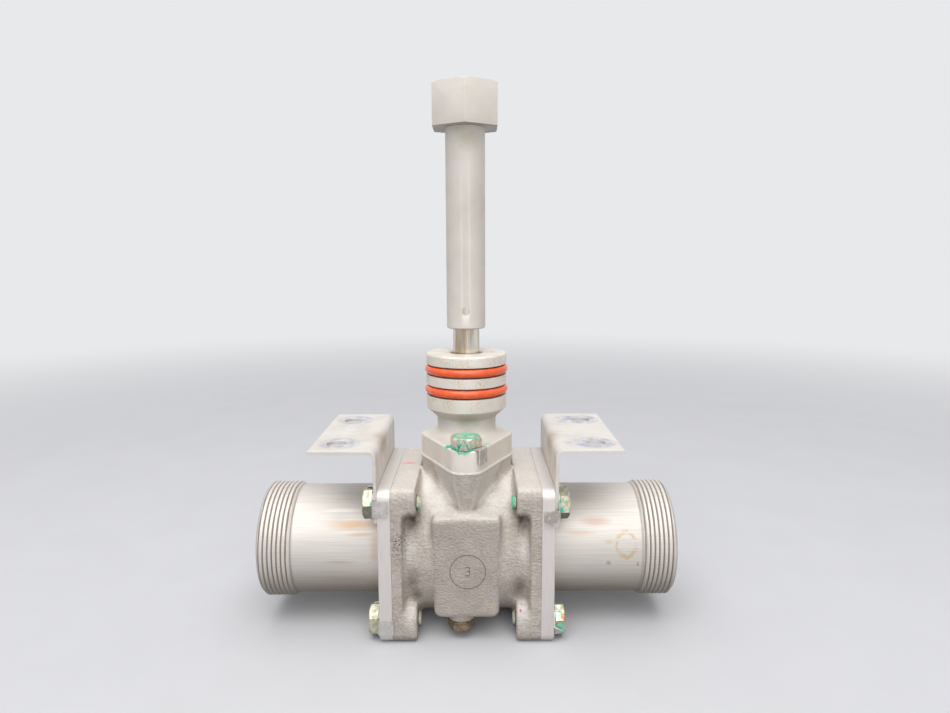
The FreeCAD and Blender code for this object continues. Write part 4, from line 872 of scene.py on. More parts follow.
def end_tree(tree, geometry, finish):
    """Make the tree's copies real, give them their finish, and lead them to the output."""
    real = add_node(tree, "GeometryNodeRealizeInstances", {"Geometry": geometry})
    inputs = {"Geometry": real.outputs[0], "Material": finish}
    dressed = add_node(tree, "GeometryNodeSetMaterial", inputs)
    add_node(tree, "NodeGroupOutput", {"Geometry": dressed.outputs[0]})


# %% [markdown]
# In the tree, X of the flat grid runs along the pipe and Y goes once round it. The ridge is 1 on
# the crest and 0 at the root, in straight flanks, and a smooth step rounds both off.


# %% The thread tree
def make_thread_tree():
    """A sleeve of screw thread along X."""
    tree = new_tree("screw_thread", [
        ("Length", "Float", 0.0136), ("Pitch", "Float", 0.0018), ("Root", "Float", 0.0226),
        ("Crest", "Float", 0.0238), ("Fade", "Float", 0.003), ("Start", "Float", 0.07),
        ("Height", "Float", 0.03), ("Rows", "Int", 100), ("Steps", "Int", 192),
        ("Finish", "Material", None)])

    def result(operation, first, second=0.0, third=0.0):
        inputs = {0: first, 1: second, 2: third}
        return add_node(tree, "ShaderNodeMath", inputs, operation=operation).outputs[0]

    given = add_node(tree, "NodeGroupInput").outputs
    grid = add_node(tree, "GeometryNodeMeshGrid", {
        "Size X": given["Length"], "Size Y": 1.0, "Vertices X": given["Rows"],
        "Vertices Y": result("ADD", given["Steps"], 1)})
    position = add_node(tree, "GeometryNodeInputPosition").outputs[0]
    spot = add_node(tree, "ShaderNodeSeparateXYZ", {0: position}).outputs
    along = result("MULTIPLY_ADD", given["Length"], 0.5, spot["X"])
    turns = result("ADD", spot["Y"], 0.5)
    pitches = result("ADD", result("DIVIDE", along, given["Pitch"]), 2.0)
    phase = result("FRACT", result("SUBTRACT", pitches, turns))
    ridge = result("SUBTRACT", 1.0, result("ABSOLUTE", result("MULTIPLY_ADD", phase, 2.0, -1.0)))
    rounded = {"Value": ridge, "From Min": 0.0, "From Max": 0.42}
    smooth = "SMOOTHSTEP"
    profile = add_node(tree, "ShaderNodeMapRange", rounded, interpolation_type=smooth).outputs[0]
    fading = {"Value": along, "From Min": 0.0, "From Max": given["Fade"]}
    fade = add_node(tree, "ShaderNodeMapRange", fading).outputs[0]
    depth = result("SUBTRACT", given["Crest"], given["Root"])
    lift = result("MULTIPLY", result("MULTIPLY", profile, fade), depth)
    lift = result("MINIMUM", lift, result("SUBTRACT", given["Length"], along))
    radius = result("ADD", given["Root"], lift)
    angle = result("MULTIPLY", turns, 2 * math.pi)
    place = add_node(tree, "ShaderNodeCombineXYZ", {
        "X": result("ADD", along, given["Start"]),
        "Y": result("MULTIPLY", radius, result("SINE", angle)),
        "Z": result("MULTIPLY_ADD", radius, result("COSINE", angle), given["Height"])}).outputs[0]
    rolled = add_node(tree, "GeometryNodeSetPosition", {
        "Geometry": grid.outputs["Mesh"], "Position": place})
    joined = add_node(tree, "GeometryNodeMergeByDistance", {
        "Geometry": rolled.outputs[0], "Distance": 1e-6})
    end_tree(tree, joined.outputs[0], given["Finish"])
    return tree


thread_tree = make_thread_tree()
print("thread tree has", len(thread_tree.nodes), "nodes")


# %% [markdown]
# The sleeve comes out of the tree as a plain mesh, facing outwards, ready to be joined to its
# tube.

# %% Make one sleeve of thread
ROWS_PER_PITCH = 14
PITCH = 25.4 / THREADS_PER_INCH
THREAD_FADE = 2.4
THREAD_RUN_OUT = 0.6
thread_start = TUBE_END - THREAD_LENGTH - THREAD_RUN_OUT
thread_rows = round((TUBE_END - thread_start) / PITCH * ROWS_PER_PITCH)
empty_mesh = bpy.data.meshes.new("thread_start")
sleeve = worked("thread_sleeve", empty_mesh, "NODES", node_group=thread_tree, values={
    "Length": (TUBE_END - thread_start) * MM,
    "Pitch": PITCH * MM,
    "Root": TUBE_RADIUS * MM,
    "Crest": THREAD_RADIUS * MM,
    "Fade": THREAD_FADE * MM,
    "Start": thread_start * MM,
    "Height": AXIS_HEIGHT * MM,
    "Rows": thread_rows,
    "Steps": ROUND_STEPS,
    "Finish": tube_aluminium,
})
print("sleeve has", len(sleeve.polygons), "faces and", thread_rows, "rows")

# %% [markdown]
# The square flange is a flat curve with five holes, filled, thickened and given a small bevel.
# Blender's 2-D curves do all three at once, and the holes come out clean.

# %% The square flange
ROUND_HOLE_STEPS = 48
BOLT_CLEARANCE = 0.2
TUBE_OVERLAP = 0.3
FLANGE_BEVEL = 0.35


def circle_line(x, y, radius, steps=ROUND_HOLE_STEPS):
    """The points of a circle."""
    angles = [2 * math.pi * step / steps for step in range(steps)]
    return [(x + radius * math.cos(angle), y + radius * math.sin(angle)) for angle in angles]


def rounded_square_line(half, corner, steps=10):
    """The points of a square with round corners, from half its width and the corners' radius."""
    line = []
    for quarter in range(4):
        sign_x = 1 if quarter in (0, 3) else -1
        sign_y = 1 if quarter in (0, 1) else -1
        for step in range(steps + 1):
            angle = math.pi / 2 * (quarter + step / steps)
            x = sign_x * (half - corner) + corner * math.cos(angle)
            y = sign_y * (half - corner) + corner * math.sin(angle)
            line.append((x, y))
    return line


def plate_mesh(lines, thickness, bevel, name):
    """A flat plate about the local XY plane, from an outline and its holes in millimetres."""
    curve = bpy.data.curves.new(name, "CURVE")
    curve.dimensions = "2D"
    curve.fill_mode = "BOTH"
    curve.extrude = (thickness / 2 - bevel) * MM
    curve.bevel_depth = bevel * MM
    curve.bevel_resolution = 2
    curve.offset = -bevel * MM
    for line in lines:
        spline = curve.splines.new("POLY")
        spline.points.add(len(line) - 1)
        for point, (x, y) in zip(spline.points, line):
            point.co = (x * MM, y * MM, 0, 1)
        spline.use_cyclic_u = True
    return worked(name, curve)


flange_lines = [rounded_square_line(FLANGE_HALF, FLANGE_CORNER),
                circle_line(0, 0, TUBE_RADIUS - TUBE_OVERLAP, ROUND_STEPS)]
for bolt_y in (-BOLT_OFFSET, BOLT_OFFSET):
    for bolt_z in (-BOLT_OFFSET, BOLT_OFFSET):
        flange_lines.append(circle_line(bolt_y, bolt_z, BOLT_RADIUS + BOLT_CLEARANCE))
flange_plate = plate_mesh(flange_lines, FLANGE_THICKNESS, FLANGE_BEVEL, "flange_plate")
print("flange plate has", len(flange_plate.polygons), "faces")

# %% [markdown]
# Tube, flange and thread become one piece at each end. The left one is the right one turned half
# round, so both threads wind the same way, as real ones do.

# %% Threaded tubes
ROOT_FILLET = 1.2


def tube_outline():
    """The tube's wall from the thread, back to the flange, through the bore and out to the end."""
    fillet_x, fillet_radius = ADAPTER_FACE + ROOT_FILLET, TUBE_RADIUS + ROOT_FILLET
    fillet = arc_points(fillet_x, fillet_radius, ROOT_FILLET, 270, 180, 6)
    groove_far = BODY_END - 5.6
    groove_near = BODY_END - 2.0
    groove_floor = SPIGOT_RADIUS - 2.9
    return [
        (thread_start, TUBE_RADIUS),
        *fillet,
        (ADAPTER_FACE - TUBE_OVERLAP, fillet_radius),
        (ADAPTER_FACE - TUBE_OVERLAP, SPIGOT_RADIUS),
        (groove_near, SPIGOT_RADIUS),
        (groove_near, groove_floor),
        (groove_far, groove_floor),
        (groove_far, SPIGOT_RADIUS),
        (SPIGOT_FACE, SPIGOT_RADIUS),
        (SPIGOT_FACE, FLOW_RADIUS + 0.3),
        (SPIGOT_FACE + 0.3, FLOW_RADIUS),
        (SPIGOT_FACE + 2.2, FLOW_RADIUS),
        (TUBE_END - 0.6, FLOW_RADIUS),
        (TUBE_END, FLOW_RADIUS + 0.6),
        (TUBE_END, TUBE_RADIUS),
    ]


def standing_flange():
    """The flange's plate, stood upright against the body's end."""
    plate = bmesh.new()
    plate.from_mesh(flange_plate)
    bmesh.ops.remove_doubles(plate, verts=plate.verts, dist=1e-6)
    upright = Matrix(((0, 0, 1, 0), (1, 0, 0, 0), (0, 1, 0, 0), (0, 0, 0, 1)))
    middle = on_valve(BODY_END + FLANGE_THICKNESS / 2, 0, 0)
    bmesh.ops.transform(plate, matrix=Matrix.Translation(middle) @ upright, verts=plate.verts)
    return to_data(plate, "flange")


def make_threaded_tube(name, node, half_turn):
    """Tube, thread and flange as one piece on the right, or turned half round to the left."""
    tube = turn_about_pipe(tube_outline())
    tube.from_mesh(sleeve)
    bmesh.ops.remove_doubles(tube, verts=tube.verts, dist=2e-6)
    bmesh.ops.recalc_face_normals(tube, faces=tube.faces)
    tube.from_mesh(standing_flange())
    if half_turn:
        bmesh.ops.transform(tube, matrix=Matrix.Rotation(math.pi, 4, "Z"), verts=tube.verts)
    piece = add_piece(name, tube, tube_aluminium)
    return settle(piece, "valve", node)


make_threaded_tube("right_threaded_tube", "right_adapter", False)
make_threaded_tube("left_threaded_tube", "left_adapter", True)

# %% [markdown]
# The casting's solid has crisp edges, and a sand casting has none. A copy of the solid is wrapped
# in a fine even skin with Remesh and smoothed twice: a little, which only takes the edge off, and
# a lot, which would melt it. Where the melted skin stands outside the crisp one, in the inner
# corners, the metal is filled up to it, so walls flow into each other while ribs and rims keep
# their shape. Machined faces and the bores stay as they are.

# %% Which parts of the skin are cast
CAVITY_RADIUS = 25.6
PAD_HALF_X = 21.0
PAD_HALF_Y = 30.0
MACHINED_MARGIN = 0.35
MACHINED_BLEND = 0.8
SLAB_TOP = 21.0
FLANK_END = 18.6


def casting_share(points):
    """0 on machined faces and 1 on as-cast skin, for rows of points in millimetres."""
    x, y, up = points[:, 0], points[:, 1], points[:, 2] - AXIS_HEIGHT
    from_end = BODY_END - numpy.abs(x)
    on_pad = (numpy.abs(y) < PAD_HALF_Y) & (numpy.abs(x) < PAD_HALF_X)
    from_land = numpy.where(on_pad, PAD_TOP - AXIS_HEIGHT - up, 10.0)
    from_cavity = numpy.abs(numpy.hypot(y, up) - CAVITY_RADIUS)
    nearest = numpy.minimum(numpy.minimum(from_end, from_land), from_cavity)
    return numpy.clip((nearest - MACHINED_MARGIN) / MACHINED_BLEND, 0, 1)[:, None]


def column_share(points):
    """1 on the column between the slab and the pad, and 0 elsewhere, with soft limits."""
    above_slab = numpy.clip((points[:, 2] - AXIS_HEIGHT - SLAB_TOP) / 2.0, 0, 1)
    below_pad = numpy.clip((PAD_TOP - 1.2 - points[:, 2]) / 0.8, 0, 1)
    within = numpy.clip((FLANK_END - numpy.abs(points[:, 0])) / 2.0, 0, 1)
    return above_slab * below_pad * within


print("as-cast skin starts %.2f mm from a machined face" % MACHINED_MARGIN)

# %% [markdown]
# Two places of the real casting differ from the plain solid. The column under the pad narrows
# towards its foot like a V, in a curve rather than straight, and the undersides of the upper bolt
# bosses sit a little higher. Both are moves of the skin's points by rule: a point's share of the
# move follows from its height and its place across.

# %% Reshape the column and the bosses
COLUMN_FOOT_SHARE = 0.38
COLUMN_HALF = (6.5, 16.0)
BOSS_LEVELS = (8.0, 17.0, BOLT_OFFSET)
BOSS_LIFTED = (8.0, 20.0, BOLT_OFFSET)
BOSS_INNER_X = 17.5
BOSS_INNER_Y = 22.5
BOSS_BLEND = 2.5
STEM_BORE = 15.0


def narrowed_column(x, y, up):
    """Each point's place along X once the column is narrowed and its flanks fill the room."""
    pad_level = PAD_TOP - AXIS_HEIGHT - 1.0
    height = numpy.clip((up - SLAB_TOP) / (pad_level - SLAB_TOP), 0, 1)
    kept = COLUMN_FOOT_SHARE + (1 - COLUMN_FOOT_SHARE) * numpy.sqrt(height)
    share = numpy.where(up < SLAB_TOP - 0.4, 1.0, kept)
    half = COLUMN_HALF[0] + (COLUMN_HALF[1] - COLUMN_HALF[0]) * height
    far = numpy.abs(x)
    flank = half * share + (far - half) * (FLANK_END - half * share) / (FLANK_END - half)
    narrowed = numpy.where(far < half, far * share, numpy.where(far < FLANK_END, flank, far))
    return numpy.where(numpy.hypot(x, y) > STEM_BORE, numpy.sign(x) * narrowed, x)


def lifted_bosses(x, y, up):
    """Each point's height above the pipe's axis once the upper bosses' undersides are lifted."""
    lifted = numpy.interp(up, BOSS_LEVELS, BOSS_LIFTED)
    beside = numpy.clip((numpy.abs(y) - BOSS_INNER_Y) / BOSS_BLEND, 0, 1)
    on_boss = (numpy.abs(x) > BOSS_INNER_X) & (up > BOSS_LEVELS[0]) & (up < BOLT_OFFSET)
    return up + (lifted - up) * beside * on_boss


def reshape(points):
    """The skin's points with the column narrowed and the bosses lifted."""
    x, y, up = points[:, 0], points[:, 1], points[:, 2] - AXIS_HEIGHT
    height = lifted_bosses(x, y, up) + AXIS_HEIGHT
    return numpy.stack((narrowed_column(x, y, up), y, height), axis=1)


print("the column keeps %.2f of its width at the foot" % COLUMN_FOOT_SHARE)

# %% [markdown]
# Now the skin is made, smoothed to two strengths and put together: the crisp one, filled up in
# the inner corners and worn a little on the outer ones, most of all on the column. Decimate then
# thins the flat stretches.

# %% Cast body
SKIN_SIZE = 0.55
CRISP_ROUNDS = 8
SOFT_ROUNDS = 90
FILL_MOST = 2.6
WORN_SHARE = 0.12
WORN_MOST = 1.0
COLUMN_WORN_SHARE = 0.7
COLUMN_WORN_MOST = 1.6
BARREL_MIDDLE = 27.4
FACES_KEPT = 0.45


def smoothed_skin(skin, rounds):
    """The skin's points, in millimetres, and their normals after some rounds of smoothing."""
    mesh = worked("smoothed", skin, "SMOOTH" if rounds else None, factor=0.5, iterations=rounds)
    points = numpy.empty(len(mesh.vertices) * 3)
    mesh.vertices.foreach_get("co", points)
    normals = numpy.empty(len(mesh.vertices) * 3)
    mesh.vertex_normals.foreach_get("vector", normals)
    bpy.data.meshes.remove(mesh)
    return points.reshape(-1, 3) / MM, normals.reshape(-1, 3)


def merged_copy(node):
    """A copy of a solid's mesh whose loose triangles are merged."""
    mesh = bmesh.new()
    mesh.from_mesh(nodes[node].data)
    bmesh.ops.remove_doubles(mesh, verts=mesh.verts, dist=1e-6)
    return mesh


def make_cast_body():
    """The body's skin with soft inner corners and crisp ribs, as one mesh."""
    solid = to_data(merged_copy("valve_body"), "casting")
    skin = worked("skin", solid, "REMESH", mode="VOXEL", voxel_size=SKIN_SIZE * MM)
    start = reshape(smoothed_skin(skin, 0)[0])
    skin.vertices.foreach_set("co", (start * MM).ravel())
    crisp, normals = smoothed_skin(skin, CRISP_ROUNDS)
    soft = smoothed_skin(skin, SOFT_ROUNDS)[0]
    outward = ((soft - crisp) * normals).sum(axis=1)[:, None]
    from_axis = numpy.hypot(crisp[:, 1], crisp[:, 2] - AXIS_HEIGHT)
    from_stem = numpy.hypot(crisp[:, 0], crisp[:, 1])
    outside = ((from_axis > BARREL_MIDDLE) & (from_stem > STEM_BORE))[:, None]
    filled = numpy.clip(outward, 0, FILL_MOST) * outside
    on_column = column_share(start)[:, None] * outside
    worn = numpy.clip(outward, -WORN_MOST, 0) * WORN_SHARE * (1 - on_column)
    worn += numpy.clip(outward * COLUMN_WORN_SHARE, -COLUMN_WORN_MOST, 0) * on_column
    moved = start + (crisp + normals * (filled + worn) - start) * casting_share(start)
    skin.vertices.foreach_set("co", (moved * MM).ravel())
    print("filled by up to %.2f mm" % filled.max())
    return worked("cast_body", skin, "DECIMATE", ratio=FACES_KEPT)


cast_body = add_piece("cast_body", make_cast_body(), cast_aluminium, 50.0)
settle(cast_body, "valve", "valve_body")

# %% [markdown]
# Turned and bent pieces have crisp edges, but never razor ones. A copy of each solid is merged,
# its flat triangles are joined into whole faces, and a narrow bevel catches the light along every
# edge.

# %% Pieces with softened edges
FLAT_WITHIN = math.radians(0.4)
SHARP_FROM = math.radians(35)


def soften_edges(node, name, width, slot, body="valve"):
    """A copy of a solid whose sharp edges have a narrow bevel."""
    mesh = merged_copy(node)
    bmesh.ops.dissolve_limit(mesh, angle_limit=FLAT_WITHIN, verts=mesh.verts, edges=mesh.edges)
    result = worked(name, to_data(mesh, name), "BEVEL", width=width * MM, segments=2,
                    limit_method="ANGLE", angle_limit=SHARP_FROM, use_clamp_overlap=True)
    return settle(add_piece(name, result, FINISHES[slot], 25.0), body, node)


soften_edges("bonnet", "turned_bonnet", 0.18, "machined_aluminium")
soften_edges("stem_extension", "hexagon_bar", 0.25, "machined_aluminium", "rotor")
soften_edges("right_bracket", "right_sheet_bracket", 0.2, "sheet_aluminium")
soften_edges("left_bracket", "left_sheet_bracket", 0.2, "sheet_aluminium")

# %% [markdown]
# A hexagon bolt's head is a prism cut by a flat cone, which leaves a round top and curved
# shoulders. Each column of points below stands at one angle: it goes up the flat to the cone, in
# along the cone, and over the top. The shank carries ridges for its thread.

# %% One bolt
BOLT_STEPS = 72
BOLT_PITCH = 1.27
CHAMFER_SLOPE = math.tan(math.radians(30))
CROWN_SHARE = 0.97
HEAD_DISH = 0.18
SHANK_NECK = 3.0
SHANK_TIP = 0.6
THREAD_ROOT_SHARE = 0.86


def hexagon_reach(angle, flats):
    """Distance from the middle of a hexagon to its side at an angle."""
    within = (angle + math.pi / 6) % (math.pi / 3) - math.pi / 6
    return flats / 2 / math.cos(within)


def bolt_column(reach, length):
    """One side of the bolt, from the head's top to the shank's end, as (radius, height)."""
    crown = BOLT_FLATS / 2 * CROWN_SHARE
    shoulder = BOLT_HEAD - (reach - crown) * CHAMFER_SLOPE
    dished = BOLT_HEAD - HEAD_DISH
    column = [(0.0, dished), (crown * 0.82, dished), (crown * 0.86, BOLT_HEAD), (crown, BOLT_HEAD),
              (reach - 0.05, shoulder), (reach, shoulder - 0.12), (reach, 0.25),
              (reach - 0.2, 0.0), (BOLT_RADIUS, 0.0), (BOLT_RADIUS, 0.5 - SHANK_NECK)]
    ridge = -SHANK_NECK
    while ridge - BOLT_PITCH > SHANK_TIP - length:
        column += [(BOLT_RADIUS, ridge), (BOLT_RADIUS, ridge - 0.25 * BOLT_PITCH),
                   (BOLT_RADIUS * THREAD_ROOT_SHARE, ridge - 0.62 * BOLT_PITCH)]
        ridge -= BOLT_PITCH
    return column + [(BOLT_RADIUS, ridge), (BOLT_RADIUS * 0.8, -length), (0.0, -length)]


def bolt_mesh(length):
    """A bolt in metres with its bearing face at zero and its shank pointing down."""
    mesh = bmesh.new()
    rows = []
    for step in range(BOLT_STEPS):
        angle = 2 * math.pi * step / BOLT_STEPS
        column = bolt_column(hexagon_reach(angle, BOLT_FLATS), length)
        points = [(r * math.cos(angle), r * math.sin(angle), up) for r, up in column]
        rows.append([mesh.verts.new(Vector(point) * MM) for point in points])
    join_rows(mesh, rows, True, False)
    bmesh.ops.remove_doubles(mesh, verts=mesh.verts, dist=1e-7)
    bmesh.ops.recalc_face_normals(mesh, faces=mesh.faces)
    return to_data(mesh, "bolt")


upper_bolt = bolt_mesh(UPPER_BOLT_LENGTH)
lower_bolt = bolt_mesh(LOWER_BOLT_LENGTH)
bonnet_bolt = bolt_mesh(BONNET_BOLT_LENGTH)
print("one bolt has", len(upper_bolt.polygons), "faces")

# %% [markdown]
# The bolts come in three lengths but are set in the same way: a tree puts one bolt on each point
# of a small mesh. The points carry the way that each bolt faces, as an attribute that the tree
# reads.


# %% The tree that sets bolts
def make_setting_tree():
    """A bolt on every point, turned as the point's own attribute says."""
    tree = new_tree("set_bolts", [
        ("Bolt", "Object", None), ("Size", "Float", 1.0), ("Finish", "Material", None)])
    given = add_node(tree, "NodeGroupInput").outputs
    bolt = add_node(tree, "GeometryNodeObjectInfo", {"Object": given["Bolt"]}).outputs["Geometry"]
    facing = add_node(
        tree, "GeometryNodeInputNamedAttribute", {"Name": "facing"}, data_type="FLOAT_VECTOR")
    copies = add_node(tree, "GeometryNodeInstanceOnPoints", {
        "Points": given["Geometry"], "Instance": bolt, "Rotation": facing.outputs["Attribute"],
        "Scale": given["Size"]})
    end_tree(tree, copies.outputs[0], given["Finish"])
    return tree


setting_tree = make_setting_tree()


def set_copies(name, model, seats):
    """A plain mesh with a copy of the bolt at each seat: a place and a rotation."""
    points = bpy.data.meshes.new(name)
    points.from_pydata([place for place, turn in seats], [], [])
    facing = points.attributes.new("facing", "FLOAT_VECTOR", "POINT")
    for index, (place, turn) in enumerate(seats):
        facing.data[index].vector = turn.to_euler("XYZ")
    pattern = in_scene(name + "_model", model)
    inputs = {"Bolt": pattern, "Size": 1.0, "Finish": plated_steel}
    result = worked(name, points, "NODES", inputs, node_group=setting_tree)
    bpy.data.objects.remove(pattern)
    return result


print("setting tree has", len(setting_tree.nodes), "nodes")

# %% [markdown]
# The flange bolts point inwards from both ends. No two were tightened to the same angle, so each
# is spun by its own amount. The upper ones stand on the brackets' sheet and the lower ones
# straight on the flange.

# %% Set the bolts
FLANGE_SPINS = {(1, -1, 1): 18, (1, -1, -1): 41, (-1, -1, 1): 9, (-1, -1, -1): 27,
                (1, 1, 1): 33, (1, 1, -1): 5, (-1, 1, 1): 50, (-1, 1, -1): 14}


def flange_seats(level):
    """Where the upper (1) or lower (-1) flange bolts bear on their washers, and their turns."""
    seats = []
    for (direction, across, up), spin in FLANGE_SPINS.items():
        if up == level:
            face = (BRACKET_FACE if up > 0 else ADAPTER_FACE) + WASHER_THICKNESS
            place = on_valve(face * direction, BOLT_OFFSET * across, BOLT_OFFSET * up)
            outward = Matrix.Rotation(math.pi / 2 * direction, 4, "Y")
            seats.append((place, outward @ Matrix.Rotation(math.radians(spin), 4, "Z")))
    return seats


def join_pieces(name, meshes, finish, slot, *replaced):
    """One piece of the valve from several plain meshes."""
    together = bmesh.new()
    for mesh in meshes:
        together.from_mesh(mesh)
    return settle(add_piece(name, together, finish, 28.0), "valve", *replaced)


bonnet_seats = []
for end, spin in ((-1, 12), (1, 40)):
    place = Vector((0, BONNET_BOLT * end, BONNET_TOP + WASHER_THICKNESS)) * MM
    bonnet_seats.append((place, Matrix.Rotation(math.radians(spin), 4, "Z")))
flange_bolts = [set_copies("upper_bolts", upper_bolt, flange_seats(1)),
                set_copies("lower_bolts", lower_bolt, flange_seats(-1))]
join_pieces("flange_bolts", flange_bolts, plated_steel, "plated_steel",
            "right_flange_bolts", "left_flange_bolts")
cap_bolts = [set_copies("cap_bolts", bonnet_bolt, bonnet_seats)]
join_pieces("bonnet_cap_bolts", cap_bolts, plated_steel, "plated_steel", "bonnet_bolts")

# %% [markdown]
# A lock washer is a disc with a tab folded over the edge of the flange and two pointed prongs
# folded up against the bolt's head, so that the bolt can't turn. Each strip is swept along a bent
# line, from the disc outwards. Every washer was bent by hand, so the angles differ.


# %% One bent strip
def bent_line(start, straight, turn_up, rise, bend=0.5, steps=5):
    """A line that runs outwards, bends by a quarter turn and goes on, as (outwards, height)."""
    sign = 1 if turn_up else -1
    line = [(start, 0.0), (straight - bend, 0.0)]
    for step in range(1, steps + 1):
        angle = math.pi / 2 * step / steps
        line.append((straight - bend + bend * math.sin(angle), sign * bend * (1 - math.cos(angle))))
    line.append((straight, sign * rise))
    return line


def strip_mesh(line, widths, thickness, offset=0.0, slant=0.0):
    """A closed strip of sheet along a bent line, with a width at each point, shifted sideways."""
    mesh = bmesh.new()
    rows = []
    for index, (outwards, height) in enumerate(line):
        before = line[max(index - 1, 0)]
        after = line[min(index + 1, len(line) - 1)]
        along = Vector((after[0] - before[0], after[1] - before[1])).normalized()
        normal = Vector((-along.y, along.x)) * thickness / 2
        half = widths[index] / 2
        shift = offset + slant * max(0, index - 1) / (len(line) - 2)
        row = []
        for side_sign, face_sign in ((-1, -1), (1, -1), (1, 1), (-1, 1)):
            y = -(outwards + normal.x * face_sign)
            up = height + normal.y * face_sign + thickness / 2
            row.append(mesh.verts.new(Vector((half * side_sign + shift, y, up)) * MM))
        rows.append(row)
    join_rows(mesh, rows, False, True)
    mesh.faces.new(rows[0])
    mesh.faces.new(list(reversed(rows[-1])))
    bmesh.ops.recalc_face_normals(mesh, faces=mesh.faces)
    return mesh


def add_turned(target, source, angle):
    """Add a mesh to another, turned about the bolt by degrees."""
    turn = Matrix.Rotation(math.radians(angle), 4, "Z")
    bmesh.ops.transform(source, matrix=turn, verts=source.verts)
    target.from_mesh(to_data(source, "strip"))


# %% [markdown]
# A whole washer is the disc with its tab and its two prongs. Where a tab has no drop, it stays
# flat.

# %% One lock washer
TAB_WIDTH = 6.2
TAB_DROP = 6.2
PRONG_WIDTH = 3.4
PRONG_TIP = 0.35
PRONG_RISE = 3.4
PRONG_GAP = 0.45


def tab_washer(edge, tab_angle=0.0, offset=0.0, slant=0.0, prong_angles=(150, 205), drop=TAB_DROP):
    """A lock washer about the local Z axis, whose tab points to -Y and drops over an edge."""
    disc_lines = [circle_line(0, 0, WASHER_RADIUS), circle_line(0, 0, BOLT_RADIUS + BOLT_CLEARANCE)]
    washer = bmesh.new()
    washer.from_mesh(plate_mesh(disc_lines, WASHER_THICKNESS, 0.08, "disc"))
    bmesh.ops.translate(washer, vec=Vector((0, 0, WASHER_THICKNESS / 2 * MM)), verts=washer.verts)
    bmesh.ops.remove_doubles(washer, verts=washer.verts, dist=1e-7)
    tab_start = WASHER_RADIUS - 1.2
    if drop:
        half = WASHER_THICKNESS / 2
        tab_line = bent_line(tab_start, edge + 0.1 + half, False, drop - half)
    else:
        tab_line = [(tab_start, 0.0), (WASHER_RADIUS, 0.0), (edge - 0.1, 0.0)]
    tab_widths = [TAB_WIDTH] * len(tab_line)
    tab = strip_mesh(tab_line, tab_widths, WASHER_THICKNESS, offset, slant)
    add_turned(washer, tab, tab_angle)
    prong_reach = BOLT_FLATS / 2 + PRONG_GAP + WASHER_THICKNESS / 2
    prong_line = bent_line(WASHER_RADIUS - 1.8, prong_reach, True, PRONG_RISE, 0.35)
    tapered = [PRONG_WIDTH] * (len(prong_line) - 1) + [PRONG_TIP]
    for angle in prong_angles:
        add_turned(washer, strip_mesh(prong_line, tapered, WASHER_THICKNESS * 0.9), angle)
    return to_data(washer, "tab_washer")


print("a prong stands %.2f mm from the middle of its bolt" % (BOLT_FLATS / 2 + PRONG_GAP))

# %% [markdown]
# The washers sit under the bolts, with their tabs over the nearest edge: the front or rear side
# of each flange, and the slanting edge of the bonnet. The lower right one at the front was left
# flat, with its tab pointing down.

# %% Set the lock washers
EDGE_DISTANCE = FLANGE_HALF - BOLT_OFFSET
WASHER_BENDS = {
    (1, -1, 1): {"offset": 1.0, "slant": 3.4, "prong_angles": (110, 250)},
    (1, -1, -1): {"tab_angle": 90, "drop": 0.0, "prong_angles": (20, 200)},
    (-1, -1, 1): {"slant": 0.0, "prong_angles": (120, 185)},
    (-1, -1, -1): {"slant": 0.3, "prong_angles": (140, 215)},
    (1, 1, 1): {"slant": 0.5, "prong_angles": (150, 210)},
    (1, 1, -1): {"slant": -0.4, "prong_angles": (130, 200)},
    (-1, 1, 1): {"slant": 0.2, "prong_angles": (160, 225)},
    (-1, 1, -1): {"slant": -0.6, "prong_angles": (145, 210)},
}


def flange_washers(direction):
    """The four lock washers of the right (1) or left (-1) flange."""
    washers = []
    for (end, across, up), bends in WASHER_BENDS.items():
        if end != direction:
            continue
        face = BRACKET_FACE if up > 0 else ADAPTER_FACE
        place = on_valve(face * direction, BOLT_OFFSET * across, BOLT_OFFSET * up)
        outward = Matrix.Rotation(math.pi / 2 * direction, 4, "Y")
        spin = Matrix.Rotation(0 if across < 0 else math.pi, 4, "Z")
        washer = tab_washer(EDGE_DISTANCE, **bends)
        washer.transform(Matrix.Translation(place) @ outward @ spin)
        washers.append(washer)
    return washers


for side, direction in (("right", 1), ("left", -1)):
    join_pieces(side + "_lock_washers", flange_washers(direction), washer_steel, "washer_steel",
                side + "_tab_washers")

# %% [markdown]
# From above, the bonnet's flange narrows in straight lines from its sides to its blunt front. Its
# two washers fold over a slanting edge, so the way from a bolt to that edge is worked out from
# the flange's sizes.

# %% Set the bonnet's lock washers
BONNET_SIDE = 19.7
BONNET_FRONT = 28.5
BONNET_FRONT_HALF = 5.0
narrowing = BONNET_SIDE - BONNET_FRONT_HALF
lean = math.atan2(narrowing, BONNET_FRONT)
bonnet_edge = (BONNET_SIDE - narrowing * BONNET_BOLT / BONNET_FRONT) * math.cos(lean)
bonnet_washers = []
for end in (-1, 1):
    place = Matrix.Translation(Vector((0, BONNET_BOLT * end, BONNET_TOP)) * MM)
    spin = Matrix.Rotation(math.pi / 2 - lean + (0 if end < 0 else math.pi), 4, "Z")
    washer = tab_washer(bonnet_edge, prong_angles=(256, 290))
    washer.transform(place @ spin)
    bonnet_washers.append(washer)
join_pieces("bonnet_lock_washers", bonnet_washers, washer_steel, "washer_steel",
            "bonnet_tab_washers")

# %% [markdown]
# The mark on the slab is a thin ring with a plain number in it, pressed into the casting. It is
# laid on the face as a hair-thin dark line of painted shade, because at this size a groove would
# only show as one.
# The slab's face is slightly crowned, so each point of the mark is moved along the line of sight
# until it lies on the casting.

